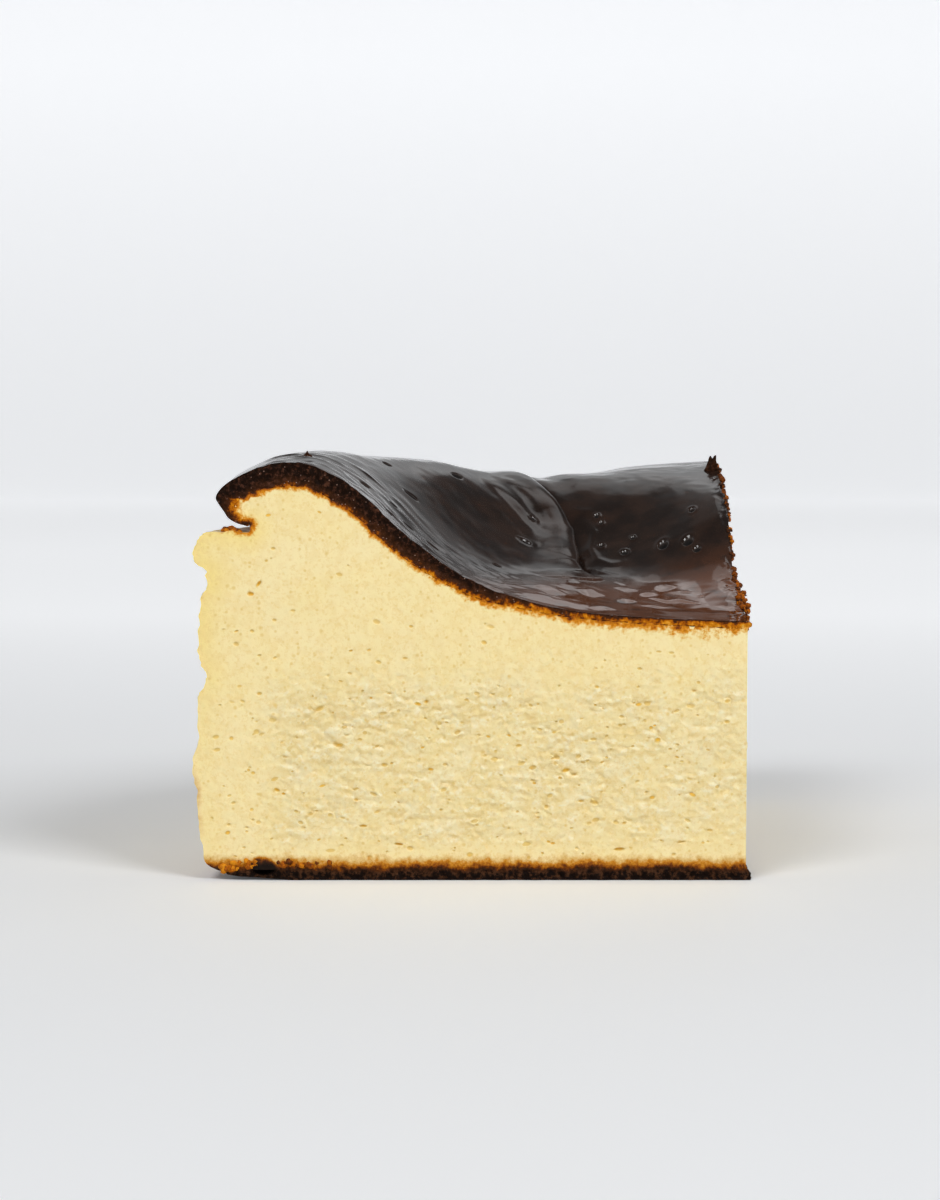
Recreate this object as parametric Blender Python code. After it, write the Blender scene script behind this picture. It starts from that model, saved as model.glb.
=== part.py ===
"""A quarter of a 15 cm basque burnt cheesecake, made as one solid.

The cake's own axis stands at the tip of the slice, at (TIP_X, TIP_Y). The sizes below are in
millimetres: a radius is taken from that axis, a height from the surface the slice stands on, and
an angle from the front cut, which faces -Y. The second cut faces +X, and the baked outside with
the raised rim is at the left and the back. The finished mesh is in metres, with +Z up.
"""

import math
import random

import bmesh
import bpy
from mathutils import Matrix, Vector, noise
from mathutils.geometry import delaunay_2d_cdt

MM = 0.001

# Main sizes
WEDGE = math.radians(91.5)
TIP_X = 36.6
TIP_Y = -37.3
SEAM_RADIUS = 66.0
FOOT_RADIUS = 62.0
AXIS_HEIGHT = 35.2

# Fineness of the mesh
NET_SPACING = 2.7
BASE_SPACING = 5.2
WALL_COLUMNS = 54

# Top skin along the front cut and along the second cut: radius and height
TOP_AT_FRONT = (
    (0.0, 35.2), (11.0, 35.6), (20.0, 36.2), (25.2, 36.9), (31.0, 38.3), (36.0, 39.9), (41.9, 43.4),
    (46.7, 47.3), (51.0, 51.4), (55.5, 54.6), (59.0, 56.1), (62.5, 56.45), (66.0, 55.9),
)
TOP_AT_BACK = (
    (0.0, 35.2), (8.0, 35.9), (14.0, 37.4), (22.0, 39.3), (29.0, 41.7), (33.5, 44.9), (37.3, 48.3),
    (45.7, 51.8), (56.0, 54.3), (66.0, 55.8),
)

# How far the crest of the rim lies above those two skins: angle in degrees and rise
CREST_RISE = (
    (0.0, 0.0), (6.0, 0.8), (12.0, 1.3), (18.0, 1.45), (23.0, 1.35), (28.0, 0.9), (34.0, 0.6), (41.0, 0.2),
    (45.0, -0.1), (50.0, -1.1), (56.0, -2.1), (62.0, -2.4), (65.0, -2.9), (69.0, -2.2), (75.0, -1.7),
    (80.0, -0.9), (91.5, 0.0),
)

# Rim and outer wall from the seam down to the foot, at the front cut: the skin curls over a slit
RIM_AT_FRONT = (
    (66.0, 55.9), (68.0, 55.0), (69.8, 54.0), (71.0, 53.0), (71.6, 51.9), (71.2, 51.0), (70.5, 50.0),
    (69.9, 49.1), (68.7, 48.4), (67.4, 48.0), (67.1, 47.3), (68.2, 47.2), (69.4, 47.5), (70.7, 47.2),
    (72.0, 47.25), (73.2, 47.1), (74.1, 46.2), (74.6, 44.8), (74.5, 43.1), (73.0, 42.1), (72.9, 40.2),
    (73.6, 38.2), (73.9, 35.5), (74.1, 32.5), (73.9, 29.6), (73.0, 27.9), (73.6, 25.9), (74.3, 24.0),
    (74.2, 19.0), (75.0, 15.2), (74.5, 12.4), (74.3, 8.4), (73.7, 5.0), (73.4, 2.5), (71.8, 1.4),
    (69.8, 0.6), (66.5, 0.4), (62.0, 0.0),
)
# The same rows where the curl has run out into a soft groove under the rim
RIM_AT_MIDDLE = (
    (66.0, 55.9), (68.2, 55.2), (70.2, 54.2), (71.8, 52.9), (72.7, 51.5), (72.9, 50.5), (72.8, 49.7),
    (72.5, 49.0), (72.3, 48.4), (72.2, 47.9), (72.2, 47.4), (72.4, 46.9), (72.7, 46.4), (73.0, 45.9),
    (73.4, 45.3), (73.8, 44.6), (74.1, 43.8), (74.3, 42.8), (74.3, 41.7), (74.2, 40.4), (74.2, 39.0),
    (74.3, 37.2), (74.3, 34.9), (74.2, 32.2), (74.1, 29.6), (74.0, 27.6), (74.1, 25.8), (74.2, 23.6),
    (74.2, 19.2), (74.3, 15.4), (74.2, 12.2), (74.0, 8.4), (73.6, 5.0), (73.0, 2.8), (71.8, 1.4),
    (69.8, 0.6), (66.6, 0.3), (62.0, 0.0),
)
# At the second cut the crest lies further out
RIM_AT_BACK = (
    (66.0, 55.8), (68.4, 56.0), (70.4, 55.8), (72.0, 55.0), (73.1, 53.7), (73.6, 52.3), (73.7, 51.1),
    (73.5, 50.0), (73.3, 49.1), (73.1, 48.3), (73.0, 47.6), (73.0, 47.0), (73.1, 46.4), (73.3, 45.8),
) + RIM_AT_MIDDLE[14:]
CURL_END = (10.0, 34.0)
BACK_START = (55.0, 86.0)

# The crease in the top skin: points left of and behind the tip, from the crest to the hollow
CREASE = (
    (32.5, 61.0), (30.6, 55.0), (29.0, 51.0), (27.2, 47.4), (25.0, 44.6), (23.4, 42.0), (22.3, 39.6),
    (22.2, 36.6), (21.9, 34.0), (22.0, 31.6), (20.6, 29.4), (17.4, 26.6),
)
CREASE_LOBE = 1.0
CREASE_LOBE_WIDTH = 6.5
CREASE_BEAD = 0.25
CREASE_BEAD_SIDE = -2.0
CREASE_BEAD_WIDTH = 2.4
CREASE_ROUND = 0.8
CREASE_HOLLOW = 2.3
CREASE_HOLLOW_WIDTH = 2.6
CREASE_ROWS = (-2.4, -0.5, 0.5, 2.4)

# Slow swells of the top skin
SWELL = 0.35
SWELL_LENGTH = 11.0

# Pleats that the lining paper pressed into the wall: angle, depth, lean over the height, half width
PLEATS = (
    (9.5, 0.9, 2.0, 3.0), (18.0, 2.1, -3.0, 3.6), (28.5, 1.3, 4.0, 3.0), (37.0, 2.6, 1.5, 4.0),
    (47.5, 1.5, -4.0, 3.2), (56.0, 2.3, 3.0, 3.8), (66.0, 2.8, -1.5, 4.2), (74.5, 1.4, -3.5, 3.0),
    (83.0, 2.0, 2.5, 3.6),
)
PLEAT_BULGE = 0.5

# Torn curd on the cuts: its band starts, is full, starts to fade and ends at these heights
CURD_RELIEF = 0.55
CURD_LENGTH = 6.0
CURD_BAND = (3.0, 9.0, 19.0, 33.0)
CURD_EDGE = 3.2

# Crumbs of torn skin along the top of the second cut: distance from the axis, size, sideways shift
CRUMBS = (
    (7.5, 0.8, 0.05), (12.5, 1.1, 0.10), (16.0, 1.3, 0.05), (21.5, 0.9, 0.10), (26.0, 0.8, 0.15),
    (32.5, 0.9, 0.15), (38.0, 0.8, 0.20), (46.0, 1.0, 0.20), (54.0, 0.9, 0.15), (61.0, 0.8, 0.20),
)
CRUMB_SINK = 0.6
FLAKE_RADIUS = 65.0
FLAKE_HEIGHT = 1.9
FLAKE_WIDTH = 2.1
FLAKE_DEPTH = 1.2
FLAKE_LEAN = math.radians(14.0)
FLAKE_ROOT = 1.2


def smooth(value, low, high):
    """Rise from 0 at low to 1 at high, level at both ends."""
    share = min(max((value - low) / (high - low), 0.0), 1.0)
    return share * share * (3.0 - 2.0 * share)


def mix(first, second, share):
    """Go from first to second as share goes from 0 to 1."""
    return first + (second - first) * share


def read_curve(points, place):
    """Read the height of a soft curve through points (place, height) without overshoot."""
    last = len(points) - 2
    index = next((i for i in range(last + 1) if place <= points[i + 1][0]), last)
    slopes = [
        (points[i + 1][1] - points[i][1]) / (points[i + 1][0] - points[i][0]) for i in range(last + 1)
    ]

    def tangent(knot):
        before = slopes[max(knot - 1, 0)]
        after = slopes[min(knot, last)]
        return 0.0 if before * after <= 0.0 else 2.0 * before * after / (before + after)

    width = points[index + 1][0] - points[index][0]
    share = min(max((place - points[index][0]) / width, 0.0), 1.0)
    square, cube = share * share, share ** 3
    return (
        (2 * cube - 3 * square + 1) * points[index][1]
        + (cube - 2 * square + share) * width * tangent(index)
        + (3 * square - 2 * cube) * points[index + 1][1]
        + (cube - square) * width * tangent(index + 1)
    )


def in_space(radius, angle, height):
    """Turn a radius, an angle from the front cut and a height (mm) into a point in metres."""
    return Vector((
        (TIP_X - radius * math.cos(angle)) * MM,
        (TIP_Y + radius * math.sin(angle)) * MM,
        height * MM,
    ))


def crease_place(left, behind):
    """Return how far a point lies to the right of the crease and how far along it, from 0 to 1."""
    best = (1e9, 0.0, 0.0)
    for index in range(len(CREASE) - 1):
        start = Vector(CREASE[index])
        step = Vector(CREASE[index + 1]) - start
        offset = Vector((left, behind)) - start
        share = min(max(offset.dot(step) / step.length_squared, 0.0), 1.0)
        gap = (offset - step * share).length
        if gap < best[0]:
            right_side = step.x * offset.y - step.y * offset.x
            best = (gap, math.copysign(gap, -right_side), (index + share) / (len(CREASE) - 1))
    return best[1], best[2]


def crease_relief(left, behind):
    """Height that the crease adds: the left lobe rolls over it and a hollow lies to its right."""
    side, along = crease_place(left, behind)
    strength = (0.35 + 0.65 * smooth(along, 0.08, 0.4)) * (1.0 - smooth(along, 0.75, 1.0))
    lobe = CREASE_LOBE * math.exp(-((side / CREASE_LOBE_WIDTH) ** 2))
    lobe += CREASE_BEAD * math.exp(-(((side - CREASE_BEAD_SIDE) / CREASE_BEAD_WIDTH) ** 2))
    lobe -= CREASE_ROUND * smooth(side, -2.4, 0.0)
    hollow = -CREASE_HOLLOW * math.exp(-((side / CREASE_HOLLOW_WIDTH) ** 2))
    return strength * mix(lobe, hollow, smooth(side, -0.6, 0.6))


def top_height(radius, angle):
    """Height of the top skin inside the seam."""
    degrees = math.degrees(angle)
    turn_start = mix(30.0, 60.0, smooth(radius, 16.0, 30.0))
    back_share = smooth(degrees, turn_start, 93.0)
    height = mix(read_curve(TOP_AT_FRONT, radius), read_curve(TOP_AT_BACK, radius), back_share)
    height += read_curve(CREST_RISE, degrees) * smooth(radius, 34.0, 62.0)
    left, behind = radius * math.cos(angle), radius * math.sin(angle)
    inner = (1.0 - smooth(radius, 60.0, SEAM_RADIUS)) * smooth(behind, 0.0, 6.0)
    swell = SWELL * noise.noise(Vector((left / SWELL_LENGTH, behind / SWELL_LENGTH, 2.5)))
    return height + inner * (crease_relief(left, behind) + swell * smooth(radius, 12.0, 30.0))


def pleat_relief(angle, height):
    """Distance that the paper's pleats move the wall inwards (negative) or outwards."""
    degrees = math.degrees(angle)
    depth_share = mix(0.3, 1.0, smooth(height, 4.0, 46.0)) * smooth(height, 1.0, 6.0)
    relief = PLEAT_BULGE * noise.noise(Vector((degrees / 9.0, height / 22.0, 7.1)))
    for centre, depth, lean, half_width in PLEATS:
        line = centre + lean * (height / 57.0 - 0.5)
        gap = abs(math.radians(degrees - line)) * SEAM_RADIUS
        relief -= depth * depth_share * max(0.0, 1.0 - gap / half_width) ** 1.4
    return relief * smooth(degrees, 0.0, 6.0) * (1.0 - smooth(degrees, 87.0, 91.5))


def rim_point(row, angle):
    """Radius and height of one row of the rim and wall at an angle."""
    degrees = math.degrees(angle)
    curl_share = 1.0 - smooth(degrees, *CURL_END)
    back_share = smooth(degrees, *BACK_START)
    radius, height = (
        mix(mix(middle, front, curl_share), back, back_share)
        for middle, front, back in zip(RIM_AT_MIDDLE[row], RIM_AT_FRONT[row], RIM_AT_BACK[row])
    )
    if row == 0:
        return SEAM_RADIUS, top_height(SEAM_RADIUS, angle)
    height += read_curve(CREST_RISE, degrees) * smooth(height, 47.0, 56.0)
    fade = smooth(row, 0, 5) * (1.0 - smooth(row, len(RIM_AT_MIDDLE) - 6, len(RIM_AT_MIDDLE) - 1))
    return radius + pleat_relief(angle, height) * fade, height


def is_inside(outline, point):
    """Tell whether a flat point lies inside a closed outline."""
    inside = False
    for (x1, y1), (x2, y2) in zip(outline, outline[1:] + outline[:1]):
        if (y1 > point[1]) != (y2 > point[1]):
            inside ^= point[0] < (x2 - x1) * (point[1] - y1) / (y2 - y1) + x1
    return inside


def edge_gap(outline, point):
    """Distance from a flat point to the nearest edge of a closed outline."""
    spot = Vector(point)
    gap = 1e9
    for start, end in zip(outline, outline[1:] + outline[:1]):
        step = Vector(end) - Vector(start)
        offset = spot - Vector(start)
        share = min(max(offset.dot(step) / step.length_squared, 0.0), 1.0)
        gap = min(gap, (offset - step * share).length)
    return gap


def net_points(outline, spacing, kept_clear=()):
    """Even points inside an outline, clear of its edge and of the points in kept_clear."""
    columns, rows = zip(*outline)
    points = []
    row_step = spacing * math.sqrt(0.75)
    for row in range(int((max(rows) - min(rows)) / row_step) + 1):
        for column in range(int((max(columns) - min(columns)) / spacing) + 2):
            point = (min(columns) + (column + row % 2 / 2.0) * spacing, min(rows) + row * row_step)
            if not is_inside(outline, point) or edge_gap(outline, point) < 0.55 * spacing:
                continue
            if all(math.dist(point, other) > 0.6 * spacing for other in kept_clear):
                points.append(point)
    return points


def add_net(mesh, outline, inner_points, place):
    """Fill an outline with a Delaunay net and put every point in its place in space."""
    points = [Vector(point) for point in list(outline) + list(inner_points)]
    flat, _, faces = delaunay_2d_cdt(points, [], [list(range(len(outline)))], 1, 1e-6)[:3]
    vertices = [mesh.verts.new(place(*point)) for point in flat]
    for face in faces:
        mesh.faces.new([vertices[index] for index in face])


def spread(start, end, spacing):
    """Numbers from start to end in equal steps of about the spacing."""
    steps = max(1, round(abs(end - start) / spacing))
    return [mix(start, end, step / steps) for step in range(steps + 1)]


def cut_outline(angle):
    """Outline of a cut in radius and height: top skin, rim and wall, base and the cake's axis."""
    top = [(radius, top_height(radius, angle)) for radius in spread(0.0, SEAM_RADIUS, NET_SPACING)]
    rim = [rim_point(row, angle) for row in range(1, len(RIM_AT_MIDDLE))]
    base = [(radius, 0.0) for radius in spread(FOOT_RADIUS, 0.0, BASE_SPACING)[1:]]
    axis = [(0.0, height) for height in spread(0.0, AXIS_HEIGHT, NET_SPACING)[1:-1]]
    return top + rim + base + axis


def curd_relief(outline, radius, height):
    """Distance that the torn curd stands out of a cut, none at the edge of the cut."""
    band = smooth(height, *CURD_BAND[:2]) * (1.0 - smooth(height, *CURD_BAND[2:]))
    edge = smooth(edge_gap(outline, (radius, height)), 0.0, CURD_EDGE)
    grain = noise.noise(Vector((radius / CURD_LENGTH, height / CURD_LENGTH * 1.6, 4.2)))
    return CURD_RELIEF * edge * mix(0.25, 1.0, band) * (grain - 0.25)


def add_cut(mesh, angle):
    """Add the net of one cut, torn a little out of its plane."""
    outline = cut_outline(angle)
    outward = Vector((-math.sin(angle), -math.cos(angle), 0.0)) * MM
    if angle > 0.0:
        outward = -outward

    def place(radius, height):
        return in_space(radius, angle, height) + outward * curd_relief(outline, radius, height)

    add_net(mesh, outline, net_points(outline, NET_SPACING), place)


def add_top(mesh):
    """Add the top skin inside the seam, with its own rows of points along the crease."""
    angles = [WEDGE * column / WALL_COLUMNS for column in range(WALL_COLUMNS + 1)]
    radii = spread(0.0, SEAM_RADIUS, NET_SPACING)
    outline = [(radius, 0.0) for radius in radii]
    outline += [(SEAM_RADIUS * math.cos(angle), SEAM_RADIUS * math.sin(angle)) for angle in angles[1:]]
    outline += [(radius * math.cos(WEDGE), radius * math.sin(WEDGE)) for radius in radii[-2:0:-1]]
    rows = []
    for index in range(len(CREASE) - 1):
        start, end = Vector(CREASE[index]), Vector(CREASE[index + 1])
        step = end - start
        right = Vector((step.y, -step.x)).normalized()
        for share in spread(0.0, 1.0, NET_SPACING / step.length)[:-1]:
            rows += [tuple(start + step * share + right * side) for side in CREASE_ROWS]

    def place(left, behind):
        radius, angle = math.hypot(left, behind), math.atan2(behind, left)
        return in_space(radius, angle, top_height(radius, angle))

    add_net(mesh, outline, rows + net_points(outline, NET_SPACING, rows), place)


def add_wall(mesh):
    """Add the rim and the wall as a grid whose points are moved to their rows and angles."""
    last_row = len(RIM_AT_MIDDLE) - 1
    grid = bmesh.ops.create_grid(mesh, x_segments=WALL_COLUMNS, y_segments=last_row, size=0.5)
    for vertex in grid["verts"]:
        angle = WEDGE * (vertex.co.x + 0.5)
        row = round((0.5 - vertex.co.y) * last_row)
        radius, height = rim_point(row, angle)
        vertex.co = in_space(radius, angle, height)


def add_base(mesh):
    """Add the flat underside."""
    edge = spread(0.0, FOOT_RADIUS, BASE_SPACING)
    angles = [WEDGE * column / WALL_COLUMNS for column in range(1, WALL_COLUMNS + 1)]
    outline = [(radius, 0.0) for radius in edge]
    outline += [(FOOT_RADIUS * math.cos(angle), FOOT_RADIUS * math.sin(angle)) for angle in angles]
    outline += [(radius * math.cos(WEDGE), radius * math.sin(WEDGE)) for radius in edge[-2:0:-1]]

    def place(left, behind):
        return in_space(math.hypot(left, behind), math.atan2(behind, left), 0.0)

    add_net(mesh, outline, [], place)


def make_object(name, mesh, collection):
    """Turn a bmesh into an object with its faces pointing out, and link it."""
    bmesh.ops.triangulate(mesh, faces=mesh.faces)
    bmesh.ops.recalc_face_normals(mesh, faces=mesh.faces)
    data = bpy.data.meshes.new(name)
    mesh.to_mesh(data)
    mesh.free()
    result = bpy.data.objects.new(name, data)
    collection.objects.link(result)
    return result


def make_body(collection):
    """Make the slice itself: two cuts, the top skin, the rim and wall, and the base."""
    mesh = bmesh.new()
    add_cut(mesh, 0.0)
    add_cut(mesh, WEDGE)
    add_top(mesh)
    add_wall(mesh)
    add_base(mesh)
    bmesh.ops.remove_doubles(mesh, verts=mesh.verts, dist=0.01 * MM)
    return make_object("cheesecake_slice", mesh, collection)


def make_crumb(index, radius, size, shift, chance, collection):
    """Make one torn crumb, half sunk into the top edge of the second cut."""
    mesh = bmesh.new()
    bmesh.ops.create_icosphere(mesh, subdivisions=1, radius=size * MM)
    centre = in_space(radius, WEDGE, top_height(radius, WEDGE) - CRUMB_SINK)
    centre.x += (shift - 0.75 * size) * MM
    turn = Matrix.Rotation(chance.uniform(0.0, math.tau), 3, Vector((0.3, 0.5, 0.8)))
    for vertex in mesh.verts:
        vertex.co = centre + turn @ (vertex.co * chance.uniform(0.8, 1.2))
    return make_object(f"torn_crumb_{index}", mesh, collection)


def make_flake(collection):
    """Make the upright flake of skin at the outer end of the second cut."""
    mesh = bmesh.new()
    bmesh.ops.create_cube(mesh, size=1.0)
    foot = in_space(FLAKE_RADIUS, WEDGE, top_height(FLAKE_RADIUS, WEDGE) - FLAKE_ROOT)
    foot.x -= 0.55 * FLAKE_WIDTH * MM
    full = FLAKE_HEIGHT + FLAKE_ROOT
    for vertex in mesh.verts:
        rise = vertex.co.z + 0.5
        narrow = mix(1.0, 0.45, rise)
        torn = 0.75 if rise > 0.5 and vertex.co.x < 0.0 else 1.0
        vertex.co = foot + MM * Vector((
            vertex.co.x * FLAKE_WIDTH * narrow + math.tan(FLAKE_LEAN) * rise * full,
            vertex.co.y * FLAKE_DEPTH * narrow,
            rise * full * torn,
        ))
    return make_object("torn_flake", mesh, collection)


def fuse(body, collection):
    """Join the crumbs and the flake to the slice, apply the union and remove them."""
    union = body.modifiers.new("fuse torn skin", "BOOLEAN")
    union.operation = "UNION"
    union.operand_type = "COLLECTION"
    union.collection = collection
    union.solver = "MANIFOLD"
    evaluated = body.evaluated_get(bpy.context.evaluated_depsgraph_get())
    fused = bpy.data.meshes.new_from_object(evaluated)
    body.modifiers.clear()
    body.data = fused
    for extra in list(collection.objects):
        bpy.data.objects.remove(extra, do_unlink=True)
    bpy.data.collections.remove(collection)


def crust_and_crumb():
    """Make the material of the baked slice: pale set cream with a soft gloss."""
    material = bpy.data.materials.new("baked cream")
    material.use_nodes = True
    shader = material.node_tree.nodes["Principled BSDF"]
    shader.inputs["Base Color"].default_value = (0.82, 0.66, 0.34, 1.0)
    shader.inputs["Roughness"].default_value = 0.5
    shader.inputs["Metallic"].default_value = 0.0
    return material


def main():
    """Clear the scene and build the slice."""
    for existing in list(bpy.data.objects):
        bpy.data.objects.remove(existing, do_unlink=True)
    parts = bpy.data.collections.new("basque burnt cheesecake slice")
    torn = bpy.data.collections.new("torn skin")
    bpy.context.scene.collection.children.link(parts)
    bpy.context.scene.collection.children.link(torn)
    body = make_body(parts)
    chance = random.Random(15)
    for index, (radius, size, shift) in enumerate(CRUMBS):
        make_crumb(index, radius, size, shift, chance, torn)
    make_flake(torn)
    fuse(body, torn)
    body.data.materials.clear()
    body.data.materials.append(crust_and_crumb())
    body.data.shade_smooth()
    body.data.set_sharp_from_angle(angle=math.radians(40.0))


main()
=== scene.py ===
"""Looks of a slice of basque burnt cheesecake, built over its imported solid.

Sizes in the classes are millimetres. The cake's own axis is the upright edge at the tip of the
slice. A place is given as left of that axis, behind it and above the surface the slice stands on,
or as a radius from the axis, an angle from the front cut and a height. Meshes are in metres.
"""

import logging
import math
from dataclasses import dataclass, field
from enum import Enum
from functools import partial
from typing import Callable, Sequence

import bmesh
import bpy
import numpy as np
from bpy.types import Material, Node, NodeTree, Object
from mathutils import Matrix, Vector, noise
from mathutils.geometry import delaunay_2d_cdt
from mathutils.kdtree import KDTree


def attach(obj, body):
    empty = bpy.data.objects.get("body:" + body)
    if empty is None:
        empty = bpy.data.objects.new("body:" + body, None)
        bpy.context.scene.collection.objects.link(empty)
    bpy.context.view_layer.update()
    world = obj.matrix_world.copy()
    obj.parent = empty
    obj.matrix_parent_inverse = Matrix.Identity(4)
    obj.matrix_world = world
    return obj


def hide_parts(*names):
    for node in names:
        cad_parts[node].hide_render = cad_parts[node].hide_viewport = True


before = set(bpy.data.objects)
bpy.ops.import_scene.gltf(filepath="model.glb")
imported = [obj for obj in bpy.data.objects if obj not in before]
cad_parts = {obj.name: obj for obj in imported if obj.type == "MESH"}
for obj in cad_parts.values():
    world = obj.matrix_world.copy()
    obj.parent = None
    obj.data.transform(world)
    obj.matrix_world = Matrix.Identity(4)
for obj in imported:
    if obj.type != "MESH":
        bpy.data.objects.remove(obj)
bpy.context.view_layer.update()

LOG = logging.getLogger("cheesecake")
MM = 0.001
WELD = 0.004
NODE = "cheesecake_slice"
BODY = "root"
IMAGE_SIZE = (940, 1200)
SHARP_EDGE = math.radians(58)
BASE_HOLLOW = (65.6, 0, 1.6)

join, stacked = np.concatenate, np.column_stack
Array = np.ndarray
Marks = dict[str, Array]
Triple = tuple[float, float, float]
Pair = tuple[float, float]
Pairs = Sequence[Pair]
Place = Callable[[Array], Array]
Socket = bpy.types.NodeSocket
Inputs = dict[str | int, object] | None


class Cut(Enum):
    """The two planes that the knife left."""

    FRONT = 0
    BACK = 1


class Slot(Enum):
    """The slice's kinds of material, by name."""

    CRUMB = "crumb"
    TOP_CRUST = "top_crust"
    BASE_CRUST = "base_crust"


def soften(value: Array | float, low: float, high: float) -> Array:
    """Rise from 0 at low to 1 at high, level at both ends.

    Args:
        value: numbers to grade.
        low: where the rise starts.
        high: where it ends.

    Returns:
        The grades, between 0 and 1.
    """
    share = np.clip((np.asarray(value, dtype=float) - low) / (high - low), 0, 1)
    return share * share * (3 - 2 * share)


def fall(value: Array | float, low: float, high: float) -> Array:
    """Fall from 1 at low to 0 at high, level at both ends."""
    return 1 - soften(value, low, high)


def bell(value: Array, width: float) -> Array:
    """Swell to 1 where the value is 0, and fade over the width on both sides."""
    return np.exp(-((value / width) ** 2))


def blend(first: Array, second: Array, share: Array) -> Array:
    """Go from first to second as share goes from 0 to 1."""
    return first + (second - first) * share


def read_curve(points: Pairs, place: Array | float) -> Array:
    """Read a soft curve that passes its points without overshoot.

    Args:
        points: the curve's points (place, height), in order of place.
        place: where to read it.

    Returns:
        The heights there.
    """
    knots, heights = (np.array(column, dtype=float) for column in zip(*points))
    widths = np.diff(knots)
    slopes = np.diff(heights) / widths
    before = join([slopes[:1], slopes])
    after = join([slopes, slopes[-1:]])
    total = np.where(before + after == 0, 1, before + after)
    tangents = np.where(before * after <= 0, 0, 2 * before * after / total)
    spot = np.asarray(place, dtype=float)
    index = np.clip(np.searchsorted(knots, spot, side="left") - 1, 0, len(widths) - 1)
    width = widths[index]
    share = np.clip((spot - knots[index]) / width, 0, 1)
    square, cube = share ** 2, share ** 3
    return (
        (2 * cube - 3 * square + 1) * heights[index]
        + (cube - 2 * square + share) * width * tangents[index]
        + (3 * square - 2 * cube) * heights[index + 1]
        + (cube - square) * width * tangents[index + 1]
    )


def ripple(across: Array, along: Array, seed: int) -> Array:
    """Soft noise over a plane, between about -1 and 1 and the same each run.

    Args:
        across: first coordinate, one unit for each swell.
        along: second coordinate.
        seed: picks the pattern.

    Returns:
        The noise at each point.
    """
    table = np.random.default_rng(seed).permutation(256)
    column, row = np.floor(across).astype(int), np.floor(along).astype(int)
    x, y = across - column, along - row

    def corner(step_x: int, step_y: int) -> Array:
        turn = table[(table[(column + step_x) & 255] + row + step_y) & 255] * (math.tau / 256)
        return np.cos(turn) * (x - step_x) + np.sin(turn) * (y - step_y)

    fade_x = x ** 3 * (x * (x * 6 - 15) + 10)
    fade_y = y ** 3 * (y * (y * 6 - 15) + 10)
    low = blend(corner(0, 0), corner(1, 0), fade_x)
    high = blend(corner(0, 1), corner(1, 1), fade_x)
    return 1.5 * blend(low, high, fade_y)


def swells(across: Array, along: Array, layer: float) -> Array:
    """Slow noise in one layer of a block."""
    return np.array([noise.noise(Vector((u, v, layer))) for u, v in zip(across.ravel(), along.ravel())])


def grain(across: Array, along: Array, seed: int, octaves: int) -> Array:
    """Noise in several sizes, each half as large and half as strong as the one before."""
    total = np.zeros_like(np.asarray(across, dtype=float))
    for octave in range(octaves):
        scale = 2 ** octave
        total = total + ripple(across * scale + 17 * octave, along * scale, seed + octave) / scale
    return total


def spread(start: float, end: float, spacing: float) -> Array:
    """Numbers from start to end in equal steps of about the spacing."""
    return np.linspace(start, end, max(1, round(abs(end - start) / spacing)) + 1)


def tree_of(points: Array) -> KDTree:
    """Make a search tree of flat points."""
    tree = KDTree(len(points))
    for index, (across, along) in enumerate(points):
        tree.insert((across, along, 0), index)
    tree.balance()
    return tree


def nearest(tree: KDTree, points: Array) -> tuple[Array, Array]:
    """Find each flat point's nearest neighbour in a tree.

    Args:
        tree: the tree to search.
        points: flat points.

    Returns:
        The index of each neighbour, and the distance to it.
    """
    found = [tree.find((across, along, 0))[1:] for across, along in points]
    indices, gaps = zip(*found)
    return np.array(indices), np.array(gaps)


def beside(line: Pairs, left: Array, behind: Array) -> tuple[Array, Array]:
    """Measure points against a line in plan.

    Args:
        line: the line's corners.
        left: distances left of the tip.
        behind: distances behind it.

    Returns:
        How far each point lies to the right of the line, and how far along it, 0 to 1.
    """
    corners = np.array(line)
    best = np.full(left.shape, 1e9)
    side, along = np.zeros_like(best), np.zeros_like(best)
    for index, (start, end) in enumerate(zip(corners[:-1], corners[1:])):
        share, gap = along_stretch(left, behind, start, end)
        step = end - start
        hand = -np.sign(step[0] * (behind - start[1]) - step[1] * (left - start[0]))
        closer = gap < best
        best = np.where(closer, gap, best)
        side = np.where(closer, hand * gap, side)
        along = np.where(closer, (index + share) / (len(corners) - 1), along)
    return side, along


def circle(angles: Array) -> Array:
    """Points of the unit circle at some angles."""
    return stacked([np.cos(angles), np.sin(angles)])


def around(corners: Pairs, spacing: float) -> Array:
    """Even points from corner to corner, without the last one."""
    sides = zip(corners[:-1], corners[1:])
    return join([
        blend(np.array(start), np.array(end), spread(0, 1, spacing / math.dist(start, end))[:-1, None])
        for start, end in sides
    ])


def along_stretch(left: Array, behind: Array, start: Array, end: Array) -> tuple[Array, Array]:
    """Measure points against a straight stretch: how far along it, 0 to 1, and how far away."""
    step = end - start
    dx, dy = left - start[0], behind - start[1]
    share = np.clip((dx * step[0] + dy * step[1]) / (step @ step), 0, 1)
    return share, np.hypot(dx - share * step[0], dy - share * step[1])


def read_rows(rows: Array, place: Array, which: slice | Array, spreading: tuple[slice | None, ...]) -> Array:
    """Read a smooth line through the rows of some angles.

    Args:
        rows: an array of angles, rows and (radius, height).
        place: row numbers, which may lie between rows.
        which: the angles to read.
        spreading: how the places lie in the result.

    Returns:
        The radius and height at each place.
    """
    last = rows.shape[1] - 1
    index = np.clip(np.floor(place).astype(int), 0, last - 1)
    before, start, end, after = (rows[which, np.clip(index + step, 0, last)] for step in (-1, 0, 1, 2))
    t = (place - index)[spreading]
    return 0.5 * (
        2 * start + (end - before) * t + (2 * before - 5 * start + 4 * end - after) * t ** 2
        + (3 * start - before - 3 * end + after) * t ** 3
    )


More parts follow.
